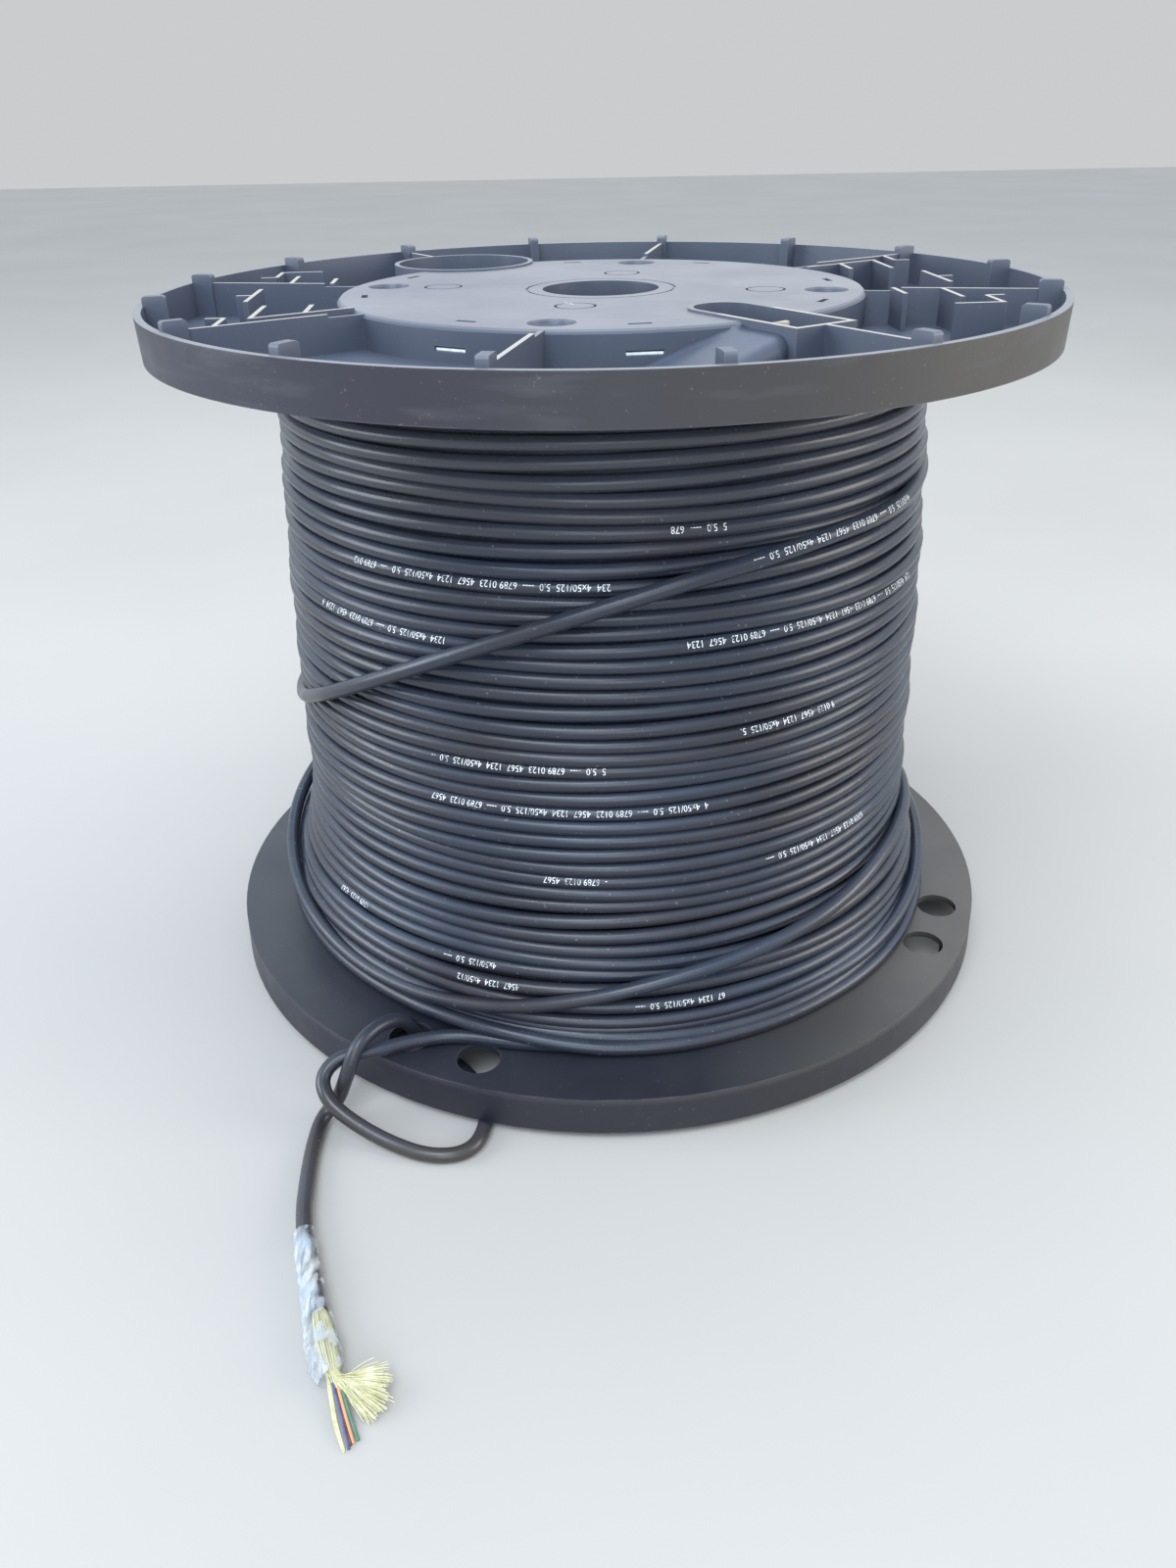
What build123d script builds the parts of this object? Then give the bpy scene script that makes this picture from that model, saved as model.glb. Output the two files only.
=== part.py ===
"""A plastic cable reel, 12 inches across its flanges, wound with four-fibre cable.

The reel stands on the lugs of its lower flange. The origin is on the reel's axis at floor level,
with +Z up and the free end of the cable towards -Y. Both flanges are the same moulding.
"""
import math
import os

from build123d import *

# Reel
FLANGE_RADIUS = 152.4
RIM_HEIGHT = 13.9
RIM_WALL = 2.4
RIM_DRAFT = 0.5
WEB_THICKNESS = 2.5
WINDING_WIDTH = 213.7

# Hub, raised inside each flange
HUB_RADIUS = 89.0
HUB_RECESS = 0.8
HUB_PLATE_THICKNESS = 2.5
HUB_SKIRT_WALL = 2.5
HUB_EDGE_CHAMFER = 1.2
ARBOR_RADIUS = 19.9
ARBOR_WALL = 2.5
BARREL_OUTER_RADIUS = 82.0
BARREL_WALL = 3.0

# Lugs and ribs inside the rim
LUG_COUNT = 16
LUG_THICKNESS = 3.4
LUG_LENGTH = 7.4
LUG_PROUD = 2.8
LUG_CORNER_RADIUS = 1.0
RIB_COUNT = 8
RIB_THICKNESS = 1.5
RIB_STEP_RADIUS = 100.0
RIB_STEP_DROP = 1.0
TWIN_RIB_OFFSET = 8.0
TWIN_RIB_END_RADIUS = 122.0

# Fins that stand in rows beside the ribs, seen along a direction turned from the first rib
FIN_THICKNESS = 1.5
FIN_ROWS_ANGLE = 15.0
FIN_INNER_ROW = 94.0
FIN_MIDDLE_ROW = 109.0
FIN_OUTER_ROW = 117.0
FIN_RETURN = 5.7
FIN_LONG_RETURN = 15.0
FIN_INNER_START = -40.0
FIN_INNER_SECOND_START = 28.0
FIN_MIDDLE_START = -50.0
FIN_MIDDLE_SECOND_START = 27.5
FIN_OUTER_SPANS = ((-64.0, -48.0), (-14.5, 17.0))
FIN_OUTER_LAST_START = 52.0
FIN_OUTER_STEM = 1.5

# Marks moulded in the hub plate
DIMPLE_INSET = 13.0
DIMPLE_RADIUS = 8.0
DIMPLE_DEPTH = 1.4
KNOCKOUT_FAR_RADIUS = 56.0
KNOCKOUT_NEAR_RADIUS = 42.5
KNOCKOUT_RADIUS = 6.7
KNOCKOUT_GROOVE = 0.8
KNOCKOUT_GROOVE_DEPTH = 1.0
ARBOR_GROOVE_RADIUS = 25.2
ARBOR_GROOVE_DEPTH = 0.4

# Snap windows in the hub skirt, with a notch in the plate above each
SNAP_ANGLE = 18.8
SNAP_WIDTH = 11.0
SNAP_HEIGHT = 1.4
SNAP_BELOW_PLATE = 6.5
NOTCH_INSET = 9.2
NOTCH_LENGTH = 7.0
NOTCH_WIDTH = 2.0

# Slot that the first end of the cable comes out of, and the duct that leads to it
SLOT_ANGLE = -45.0
SLOT_WIDTH = 19.0
SLOT_INNER_RADIUS = 57.0
SLOT_OUTER_RADIUS = 109.0
SLOT_WALL = 1.8
DUCT_RADIUS = 6.5
DUCT_WALL = 1.6
DUCT_TANGENT_REACH = 46.0
DUCT_AXIS_RADIUS = 96.0
DUCT_RISE = 11.0

# Round cup opposite the slot
CUP_ANGLE = 135.0
CUP_CENTRE_RADIUS = 97.0
CUP_RADIUS = 27.5
CUP_WALL = 1.8

# Start holes in the flange's web
START_HOLE_PITCH_RADIUS = 138.5
START_HOLE_RADIUS = 7.5
START_HOLE_SPREAD = 5.6
START_HOLE_FIRST_ANGLE = 22.5
START_HOLE_PAIRS = 4

# How far each flange is turned about the axis
UPPER_FLANGE_TURN = -10.8
LOWER_FLANGE_TURN = -1.8

# Cable and winding
CABLE_DIAMETER = 5.0
TURN_COUNT = 43
TURN_GROOVE_DEPTH = 2.2
# Outer radius of the winding at heights above the lower flange's web
WINDING_FOOT = (131.3, 0.0)
WINDING_SPREAD = (128.0, 14.0)
WINDING_WAIST = (118.5, 50.0)
WINDING_SHOULDER = (116.5, 130.0)
WINDING_TOP_RADIUS = 111.5

# Fibres and yarn at the cable's end
FIBRE_DIAMETER = 0.9
YARN_CORE_DIAMETER = 6.2
YARN_BARE_LENGTH = 3.0
TAPE_THICKNESS = 0.8
TAPE_LENGTH = 51.5
TAPE_OVER_JACKET = 30.0
TAPE_TAPER = 4.0
FIBRE_COLOURS = ["blue", "orange", "green", "brown"]
FIBRE_SPACING = 0.92
FIBRE_LENGTH = 15.5
FIBRE_BEND_AT = 6.2
FIBRE_BEND_RADIUS = 8.0
FIBRE_BEND_SPREAD = 1.3
FIBRE_END_SPREAD = 1.9
FIBRE_END_LEAN = 1.0
YARN_FAN_THICKNESS = 2.4
# Outline of the yarn's fan, along the cable and to its side from the bundle's end
YARN_FAN_OUTLINE = [(-1.5, 0.0), (6.0, 0.0), (12.0, 5.3), (10.8, 9.8), (2.4, 15.0), (-1.5, 7.5)]
# Clearance between things that rest on one another
CLEARANCE = 0.1

# Heights that follow
RIM_TOP = RIM_HEIGHT
HUB_TOP = RIM_TOP - HUB_RECESS
LOWER_WEB_TOP = LUG_PROUD + RIM_HEIGHT
UPPER_WEB_FACE = LOWER_WEB_TOP + WINDING_WIDTH
RIM_INNER_RADIUS = FLANGE_RADIUS - RIM_WALL
CABLE_RADIUS = CABLE_DIAMETER / 2


def polar(radius, angle, height=0.0):
    """A point at this radius, angle in degrees and height."""
    return (radius * math.cos(math.radians(angle)), radius * math.sin(math.radians(angle)), height)


def ring(outer, inner, bottom, top):
    """A round wall between two heights."""
    wall = Cylinder(outer, top - bottom, align=(Align.CENTER, Align.CENTER, Align.MIN))
    wall -= Cylinder(inner, top - bottom, align=(Align.CENTER, Align.CENTER, Align.MIN))
    return Pos(0, 0, bottom) * wall


def rim_and_web():
    """The flat web with its skirt, turned in one profile: the web's open face is up."""
    inner = BARREL_OUTER_RADIUS - BARREL_WALL
    profile = Polyline(
        (inner, 0),
        (FLANGE_RADIUS - RIM_DRAFT, 0),
        (FLANGE_RADIUS, RIM_TOP),
        (RIM_INNER_RADIUS, RIM_TOP),
        (RIM_INNER_RADIUS - RIM_DRAFT, WEB_THICKNESS),
        (inner, WEB_THICKNESS),
        close=True,
    )
    return revolve(Plane.XZ * make_face(profile), Axis.Z)


def hub():
    """The raised hub: plate, skirt and the sleeve round the arbor hole."""
    skirt_inner = HUB_RADIUS - HUB_SKIRT_WALL
    sleeve_outer = ARBOR_RADIUS + ARBOR_WALL
    plate_under = HUB_TOP - HUB_PLATE_THICKNESS
    profile = Polyline(
        (HUB_RADIUS, 0),
        (HUB_RADIUS, HUB_TOP - HUB_EDGE_CHAMFER),
        (HUB_RADIUS - HUB_EDGE_CHAMFER, HUB_TOP),
        (ARBOR_RADIUS, HUB_TOP),
        (ARBOR_RADIUS, 0),
        (sleeve_outer, 0),
        (sleeve_outer, plate_under),
        (skirt_inner, plate_under),
        (skirt_inner, 0),
        close=True,
    )
    return revolve(Plane.XZ * make_face(profile), Axis.Z)


def lug(angle):
    """One upright lug against the rim, with its top corners rounded."""
    height = RIM_TOP + LUG_PROUD
    outline = RectangleRounded(LUG_LENGTH, 2 * height, LUG_CORNER_RADIUS)
    body = extrude(Plane.XZ * outline, LUG_THICKNESS / 2, both=True)
    body = Pos(RIM_INNER_RADIUS - LUG_LENGTH / 2 + RIM_DRAFT / 2, 0, 0) * body
    body &= Pos(RIM_INNER_RADIUS, 0, 0) * Box(
        3 * LUG_LENGTH, LUG_LENGTH, height, align=(Align.CENTER, Align.CENTER, Align.MIN)
    )
    return Rot(0, 0, angle) * body


def wall_between(start, end, thickness, height):
    """A thin upright wall from one plan point to another, standing on the web."""
    length = math.dist(start, end)
    angle = math.degrees(math.atan2(end[1] - start[1], end[0] - start[0]))
    wall = Box(length, thickness, height, align=(Align.MIN, Align.CENTER, Align.MIN))
    return Pos(start[0], start[1], 0) * Rot(0, 0, angle) * wall


def rib(angle):
    """One radial rib from the hub to the rim, with a step down near the hub."""
    inner = HUB_RADIUS - HUB_SKIRT_WALL / 2
    profile = Polyline(
        (inner, 0),
        (RIM_INNER_RADIUS, 0),
        (RIM_INNER_RADIUS, RIM_TOP),
        (RIB_STEP_RADIUS, RIM_TOP),
        (RIB_STEP_RADIUS, RIM_TOP - RIB_STEP_DROP),
        (inner, RIM_TOP - RIB_STEP_DROP),
        close=True,
    )
    return Rot(0, 0, angle) * extrude(Plane.XZ * make_face(profile), RIB_THICKNESS / 2, both=True)


def fins():
    """The fins of one side: three rows of short parallel walls, some with a return at the end."""
    first_rib = -FIN_ROWS_ANGLE
    second_rib = 360 / RIB_COUNT - FIN_ROWS_ANGLE
    twin_step = TWIN_RIB_OFFSET / math.cos(math.radians(second_rib))

    def along_first(row):
        return row * math.tan(math.radians(first_rib))

    def along_second(row):
        return row * math.tan(math.radians(second_rib))

    spans = [
        ((FIN_INNER_ROW, FIN_INNER_START), (FIN_INNER_ROW, along_first(FIN_INNER_ROW))),
        (
            (FIN_INNER_ROW, FIN_INNER_SECOND_START),
            (FIN_INNER_ROW, along_second(FIN_INNER_ROW) - twin_step),
        ),
        ((FIN_MIDDLE_ROW, FIN_MIDDLE_START), (FIN_MIDDLE_ROW, along_first(FIN_MIDDLE_ROW))),
        (
            (FIN_MIDDLE_ROW, FIN_MIDDLE_SECOND_START),
            (FIN_MIDDLE_ROW, along_second(FIN_MIDDLE_ROW) - twin_step),
        ),
        ((FIN_OUTER_ROW, FIN_OUTER_LAST_START), (FIN_OUTER_ROW, along_second(FIN_OUTER_ROW))),
    ]
    for low, high in FIN_OUTER_SPANS:
        spans.append(((FIN_OUTER_ROW, low), (FIN_OUTER_ROW, high)))
    for stem in (FIN_OUTER_SPANS[0][1], FIN_OUTER_STEM, FIN_OUTER_LAST_START):
        spans.append(((FIN_OUTER_ROW, stem), (FIN_OUTER_ROW + FIN_RETURN, stem)))
    far_end = FIN_OUTER_SPANS[0][0] + FIN_THICKNESS / 2
    spans.append(((FIN_OUTER_ROW - FIN_LONG_RETURN, far_end), (FIN_OUTER_ROW, far_end)))
    walls = [wall_between(start, end, FIN_THICKNESS, RIM_TOP) for start, end in spans]
    return [Rot(0, 0, FIN_ROWS_ANGLE) * wall for wall in walls]


def twin_rib():
    """The short second wall beside the second rib, which makes a narrow channel with it."""
    wall = Box(
        TWIN_RIB_END_RADIUS - HUB_RADIUS + HUB_SKIRT_WALL / 2,
        RIB_THICKNESS,
        RIM_TOP,
        align=(Align.MIN, Align.CENTER, Align.MIN),
    )
    wall = Pos(HUB_RADIUS - HUB_SKIRT_WALL / 2, -TWIN_RIB_OFFSET, 0) * wall
    return Rot(0, 0, 360 / RIB_COUNT) * wall


def slot_outline(width, inner, outer, bottom, top):
    """A bar along the slot with a round inner end, used for the slot and for its walls."""
    half = width / 2
    outline = Pos((inner + half + outer) / 2, 0) * Rectangle(outer - inner - half, width)
    outline += Pos(inner + half, 0) * Circle(half)
    bar = Pos(0, 0, bottom) * extrude(outline, top - bottom)
    return Rot(0, 0, SLOT_ANGLE) * bar


def duct_path():
    """The duct's low end at the web and its high end at the slot's wall."""
    low = Vector(DUCT_AXIS_RADIUS, -DUCT_TANGENT_REACH, -DUCT_RADIUS)
    high = Vector(DUCT_AXIS_RADIUS, -SLOT_WIDTH / 2 + SLOT_WALL / 2, DUCT_RISE - DUCT_RADIUS)
    return low, high


def duct_bar(radius):
    """A round bar along the duct, in the flange's frame."""
    low, high = duct_path()
    direction = high - low
    bar = extrude(Plane(origin=low, z_dir=direction) * Circle(radius), direction.length)
    return Rot(0, 0, SLOT_ANGLE) * bar


def hub_marks():
    """Dished dimples, knock-out rings, snap notches and the ring round the arbor hole."""
    marks = []
    for quarter in range(4):
        angle = 90 * quarter
        dimple = Cone(DIMPLE_RADIUS - DIMPLE_DEPTH, DIMPLE_RADIUS, 2 * DIMPLE_DEPTH)
        marks.append(Pos(*polar(HUB_RADIUS - DIMPLE_INSET, angle, HUB_TOP)) * dimple)
        knockout_radius = KNOCKOUT_FAR_RADIUS if quarter % 2 == 0 else KNOCKOUT_NEAR_RADIUS
        groove = ring(
            KNOCKOUT_RADIUS,
            KNOCKOUT_RADIUS - KNOCKOUT_GROOVE,
            HUB_TOP - KNOCKOUT_GROOVE_DEPTH,
            HUB_TOP + KNOCKOUT_GROOVE_DEPTH,
        )
        marks.append(Pos(*polar(knockout_radius, angle)) * groove)
        for side in (-1, 1):
            place = Rot(0, 0, angle + side * SNAP_ANGLE)
            notch = Box(NOTCH_WIDTH, NOTCH_LENGTH, 3 * HUB_PLATE_THICKNESS)
            marks.append(place * Pos(HUB_RADIUS - NOTCH_INSET, 0, HUB_TOP) * notch)
            window = Box(4 * HUB_SKIRT_WALL, SNAP_WIDTH, SNAP_HEIGHT)
            marks.append(place * Pos(HUB_RADIUS, 0, HUB_TOP - SNAP_BELOW_PLATE) * window)
    marks.append(
        ring(
            ARBOR_GROOVE_RADIUS + ARBOR_GROOVE_DEPTH,
            ARBOR_GROOVE_RADIUS - ARBOR_GROOVE_DEPTH,
            HUB_TOP - ARBOR_GROOVE_DEPTH,
            HUB_TOP + ARBOR_GROOVE_DEPTH,
        )
    )
    return marks


def start_holes():
    """Pairs of round holes through the web, each pair one each side of a lug."""
    holes = []
    for pair in range(START_HOLE_PAIRS):
        for side in (-1, 1):
            angle = START_HOLE_FIRST_ANGLE + 360 / START_HOLE_PAIRS * pair + side * START_HOLE_SPREAD
            hole = Cylinder(START_HOLE_RADIUS, 4 * WEB_THICKNESS)
            holes.append(Pos(*polar(START_HOLE_PITCH_RADIUS, angle)) * hole)
    return holes


def flange():
    """One flange moulding, its web's cable side at z = 0 and its open side up."""
    body = rim_and_web() + hub()
    lugs = [lug(360 / LUG_COUNT * index) for index in range(LUG_COUNT)]
    ribs = [rib(360 / RIB_COUNT * index) for index in range(RIB_COUNT)]
    half_walls = fins() + [twin_rib()]
    walls = half_walls + [Rot(0, 0, 180) * wall for wall in half_walls]
    body += lugs + ribs + walls

    body += slot_outline(
        SLOT_WIDTH + 2 * SLOT_WALL, SLOT_INNER_RADIUS - SLOT_WALL, SLOT_OUTER_RADIUS + SLOT_WALL, 0, RIM_TOP
    )
    cup_place = Pos(*polar(CUP_CENTRE_RADIUS, CUP_ANGLE))
    cup_outer = Cylinder(CUP_RADIUS, RIM_TOP, align=(Align.CENTER, Align.CENTER, Align.MIN))
    body += cup_place * cup_outer
    above_web = Cylinder(FLANGE_RADIUS, RIM_TOP, align=(Align.CENTER, Align.CENTER, Align.MIN))
    body += duct_bar(DUCT_RADIUS) & above_web

    body -= slot_outline(SLOT_WIDTH, SLOT_INNER_RADIUS, SLOT_OUTER_RADIUS, WEB_THICKNESS, 2 * RIM_TOP)
    cup_bore = Pos(0, 0, WEB_THICKNESS) * Cylinder(
        CUP_RADIUS - CUP_WALL, 2 * RIM_TOP, align=(Align.CENTER, Align.CENTER, Align.MIN)
    )
    body -= cup_place * cup_bore
    body -= duct_bar(DUCT_RADIUS - DUCT_WALL)
    body -= hub_marks() + start_holes()
    return body


def winding_radius(height):
    """The winding's outer radius at a height above the lower web, read along its side."""
    top = (WINDING_TOP_RADIUS, WINDING_WIDTH)
    side = [WINDING_FOOT, WINDING_SPREAD, WINDING_WAIST, WINDING_SHOULDER, top]
    for (low_radius, low), (high_radius, high) in zip(side, side[1:]):
        if height <= high:
            share = (height - low) / (high - low)
            return low_radius + share * (high_radius - low_radius)
    return side[-1][0]


def winding():
    """The wound cable: one turned solid with a ridge for each turn of its outer layer."""
    pitch = WINDING_WIDTH / TURN_COUNT
    points = [(BARREL_OUTER_RADIUS, 0.0)]
    for turn in range(TURN_COUNT):
        low = turn * pitch
        points.append((winding_radius(low) - TURN_GROOVE_DEPTH, low))
        points.append((winding_radius(low + pitch / 2), low + pitch / 2))
    points.append((winding_radius(WINDING_WIDTH) - TURN_GROOVE_DEPTH, WINDING_WIDTH))
    points.append((BARREL_OUTER_RADIUS, WINDING_WIDTH))
    body = revolve(Plane.XZ * make_face(Polyline(*points, close=True)), Axis.Z)
    return Pos(0, 0, LOWER_WEB_TOP) * body


# Turns that lie loose on the others: angle round the axis, height and distance out of each bend
CROSSING_TURN = [
    (24, 191.5, 109.5),
    (8, 191.5, 110.5),
    (-8, 191.0, 112.0),
    (-20, 190.0, 113.5),
    (-34, 189.0, 116.5),
    (-45, 188.2, 118.6),
    (-56, 186.7, 118.7),
    (-67, 183.8, 118.9),
    (-79, 179.4, 119.1),
    (-92, 171.7, 119.6),
    (-106, 161.1, 120.2),
    (-119, 149.4, 120.9),
    (-132, 136.5, 121.5),
    (-145, 123.6, 120.5),
    (-158, 112.5, 118.8),
    (-172, 108.0, 117.0),
    (-186, 106.5, 115.5),
]
HIGH_FOOT_TURN = [
    (12, 62.0, 114.0),
    (-2, 62.0, 118.0),
    (-16, 62.0, 121.5),
    (-30, 61.5, 123.0),
    (-44, 57.5, 125.2),
    (-57, 53.6, 127.3),
    (-70, 50.0, 128.6),
    (-84, 44.7, 129.2),
    (-96, 37.9, 129.5),
    (-108, 31.8, 129.7),
    (-122, 28.2, 130.0),
    (-137, 28.5, 130.4),
    (-152, 31.5, 130.9),
    (-166, 38.0, 131.4),
    (-180, 46.0, 130.5),
    (-194, 54.0, 126.0),
    (-208, 60.0, 120.0),
    (-222, 64.0, 115.0),
]
MIDDLE_FOOT_TURN = [
    (50, 42.0, 116.0),
    (34, 42.0, 121.0),
    (18, 42.0, 125.0),
    (2, 41.0, 127.0),
    (-12, 37.0, 128.0),
    (-25, 30.0, 130.0),
    (-42, 26.5, 129.4),
    (-60, 25.5, 127.6),
    (-78, 24.3, 127.2),
    (-96, 24.5, 127.4),
    (-112, 26.0, 126.6),
    (-128, 27.0, 125.6),
    (-144, 29.0, 125.4),
    (-160, 33.0, 126.5),
    (-176, 40.0, 127.5),
    (-192, 46.0, 125.5),
    (-208, 50.0, 121.0),
    (-224, 52.0, 117.0),
]

def loose_turn(bends):
    """One loose turn, a tube whose two ends go in among the other turns."""
    line = Spline(*[polar(radius, angle, height) for angle, height, radius in bends])
    start = Plane(origin=line @ 0, z_dir=line % 0)
    return sweep(start * Circle(CABLE_RADIUS), line)


def barrel():
    """The tube between the flanges that the cable is wound on."""
    return ring(
        BARREL_OUTER_RADIUS, BARREL_OUTER_RADIUS - BARREL_WALL, LOWER_WEB_TOP, UPPER_WEB_FACE
    )


def cord_wire(points):
    """Straight runs joined by arcs, each as large as its two runs allow."""
    corners = [Vector(*point) for point in points]
    radii = []
    for before, corner, after in zip(corners, corners[1:], corners[2:]):
        turn = math.radians((corner - before).get_angle(after - corner))
        shorter = min((corner - before).length, (after - corner).length)
        radii.append(0.45 * shorter / math.tan(turn / 2))
    print("radii of the tail's arcs:", [round(radius, 1) for radius in radii])
    return FilletPolyline(*corners, radius=radii)


# The free tail's route, from the winding over the rim, under it, up a start hole and out again
ON_WEB = LOWER_WEB_TOP + CABLE_RADIUS + CLEARANCE
ON_FLOOR = CABLE_RADIUS + CLEARANCE
ON_TAPE = YARN_CORE_DIAMETER / 2 + TAPE_THICKNESS + CLEARANCE
TAIL_POINTS = [
    (-14.0, -130.6, ON_WEB),
    (-33.0, -127.4, ON_WEB),
    (-52.0, -122.0, ON_WEB),
    (-68.0, -126.0, ON_WEB + 0.6),
    (-80.5, -132.0, ON_WEB + 1.0),
    (-90.5, -133.5, ON_WEB + 1.0),
    (-96.5, -138.5, ON_WEB - 3.0),
    (-94.0, -146.0, ON_WEB - 6.5),
    (-85.0, -151.5, 8.0),
    (-72.0, -156.5, 3.2),
    (-58.0, -162.0, ON_FLOOR),
    (-45.2, -160.2, ON_FLOOR),
    (-41.0, -148.5, ON_FLOOR),
    (-42.5, -135.0, ON_FLOOR),
    (-49.5, -123.5, ON_FLOOR + 0.4),
    (-59.5, -117.5, 6.5),
    (-67.0, -117.0, 15.5),
    (-71.0, -119.5, 24.5),
    (-77.5, -127.0, 28.5),
    (-84.0, -136.0, 27.0),
    (-87.5, -140.0, 17.5),
    (-91.5, -140.5, 7.0),
    (-96.8, -144.0, ON_FLOOR),
    (-97.3, -156.0, ON_FLOOR),
    (-96.3, -170.0, ON_FLOOR),
    (-94.0, -187.0, ON_TAPE),
    (-88.7, -204.2, ON_TAPE),
    (-82.2, -220.6, ON_TAPE),
]


def tail():
    """The cable's free end, one tube along its route."""
    wire = cord_wire(TAIL_POINTS)
    start = Plane(origin=wire @ 0, z_dir=wire % 0)
    tube = sweep(start * Circle(CABLE_RADIUS), wire)
    expected = math.pi * CABLE_RADIUS**2 * wire.length
    print("tail length", round(wire.length, 1), "volume over section times length", tube.volume / expected)
    return tube


def end_plane():
    """The cable's cut end: X runs on along the cable, Y to its side and Z up."""
    before = Vector(*TAIL_POINTS[-2])
    last = Vector(*TAIL_POINTS[-1])
    return Plane(origin=last, x_dir=last - before, z_dir=(0, 0, 1))


def turned_on_end(points):
    """A solid turned about the cable's end from a profile of distances along and out from it."""
    return end_plane() * revolve(make_face(Polyline(*points, close=True)), Axis.X)


def tape():
    """Clear tape, wrapped over the jacket's end and the bundle of yarn that comes out of it."""
    jacket_outside = CABLE_RADIUS + TAPE_THICKNESS
    bundle = YARN_CORE_DIAMETER / 2
    beyond = TAPE_LENGTH - TAPE_OVER_JACKET
    over_yarn = turned_on_end(
        [
            (0, CABLE_RADIUS),
            (0, jacket_outside),
            (TAPE_TAPER, bundle + TAPE_THICKNESS),
            (beyond, bundle + TAPE_THICKNESS),
            (beyond, bundle),
            (TAPE_TAPER, bundle),
        ]
    )
    wire = cord_wire(TAIL_POINTS)
    jacket_end = wire.trim(1 - TAPE_OVER_JACKET / wire.length, 1)
    start = Plane(origin=jacket_end @ 0, z_dir=jacket_end % 0)
    over_jacket = sweep(start * (Circle(jacket_outside) - Circle(CABLE_RADIUS)), jacket_end)
    return over_jacket + over_yarn


def yarn():
    """Aramid yarn: a round bundle under the tape that opens into a flat fan to one side."""
    radius = YARN_CORE_DIAMETER / 2
    length = TAPE_LENGTH - TAPE_OVER_JACKET + YARN_BARE_LENGTH
    profile = [(0, 0), (0, CABLE_RADIUS), (TAPE_TAPER, radius), (length, radius), (length, 0)]
    outline = Polyline(*YARN_FAN_OUTLINE, close=True)
    fan = Pos(length, 0, FIBRE_DIAMETER / 2 + CLEARANCE) * extrude(make_face(outline), YARN_FAN_THICKNESS)
    return turned_on_end(profile) + end_plane() * fan


def fibre(index):
    """One buffered fibre, from the bundle's end down to the floor."""
    length = TAPE_LENGTH - TAPE_OVER_JACKET + YARN_BARE_LENGTH
    side = (index - (len(FIBRE_COLOURS) - 1) / 2) * FIBRE_SPACING
    floor = FIBRE_DIAMETER / 2 + CLEARANCE - ON_TAPE
    path = FilletPolyline(
        (length, side, 0),
        (length + FIBRE_BEND_AT, side * FIBRE_BEND_SPREAD, 0),
        (length + FIBRE_LENGTH, side * FIBRE_END_SPREAD + FIBRE_END_LEAN, floor),
        radius=FIBRE_BEND_RADIUS,
    )
    start = Plane(origin=path @ 0, z_dir=path % 0)
    return end_plane() * sweep(start * Circle(FIBRE_DIAMETER / 2), path)


def save(shape, name):
    export_step(shape, f"parts/{name}.step")


os.makedirs("parts", exist_ok=True)
moulding = flange()
top_flange = Pos(0, 0, UPPER_WEB_FACE) * Rot(0, 0, UPPER_FLANGE_TURN) * moulding
bottom_flange = Pos(0, 0, LOWER_WEB_TOP) * Rot(0, 0, LOWER_FLANGE_TURN) * Rot(180, 0, 0) * moulding
tail_tube = tail()
save(top_flange, "top_flange")
save(bottom_flange, "bottom_flange")
save(barrel(), "barrel")
wound_cable = winding()
for bends in (CROSSING_TURN, HIGH_FOOT_TURN, MIDDLE_FOOT_TURN):
    wound_cable += loose_turn(bends)
save(wound_cable - tail_tube, "cable_winding")
save(tail_tube - bottom_flange, "cable_tail")
save(tape(), "tape_wrap")
save(yarn(), "aramid_yarn")
for index, colour in enumerate(FIBRE_COLOURS):
    save(fibre(index), f"fibre_{colour}")
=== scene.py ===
"""A black plastic reel of fibre cable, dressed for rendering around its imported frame."""
import math
import random

import bmesh
import bpy
from mathutils import Matrix, Vector, noise


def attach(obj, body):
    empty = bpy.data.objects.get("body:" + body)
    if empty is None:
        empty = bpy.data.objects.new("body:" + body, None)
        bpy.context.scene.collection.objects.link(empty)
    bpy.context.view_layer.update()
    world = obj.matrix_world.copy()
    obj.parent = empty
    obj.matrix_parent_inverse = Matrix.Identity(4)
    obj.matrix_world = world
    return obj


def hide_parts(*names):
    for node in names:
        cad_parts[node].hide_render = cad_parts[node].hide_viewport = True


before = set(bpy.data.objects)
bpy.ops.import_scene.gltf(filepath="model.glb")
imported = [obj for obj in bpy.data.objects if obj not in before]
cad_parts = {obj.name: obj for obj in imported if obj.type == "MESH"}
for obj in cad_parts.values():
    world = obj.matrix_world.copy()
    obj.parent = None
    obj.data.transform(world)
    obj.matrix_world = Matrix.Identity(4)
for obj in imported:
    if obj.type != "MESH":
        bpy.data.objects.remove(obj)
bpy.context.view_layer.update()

# The camera stands close in front of the reel, a little higher than its top. It looks down on the
# reel and slightly to the left of its axis.
CAMERA_PLACE = (0.0, -0.44436, 0.29767)
CAMERA_LENS = 27.83
CAMERA_PAN = -0.993
CAMERA_PITCH = -29.198
CAMERA_ROLL = 1.144
FILM_WIDTH = 36
NEAREST_SEEN = 0.01

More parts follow.
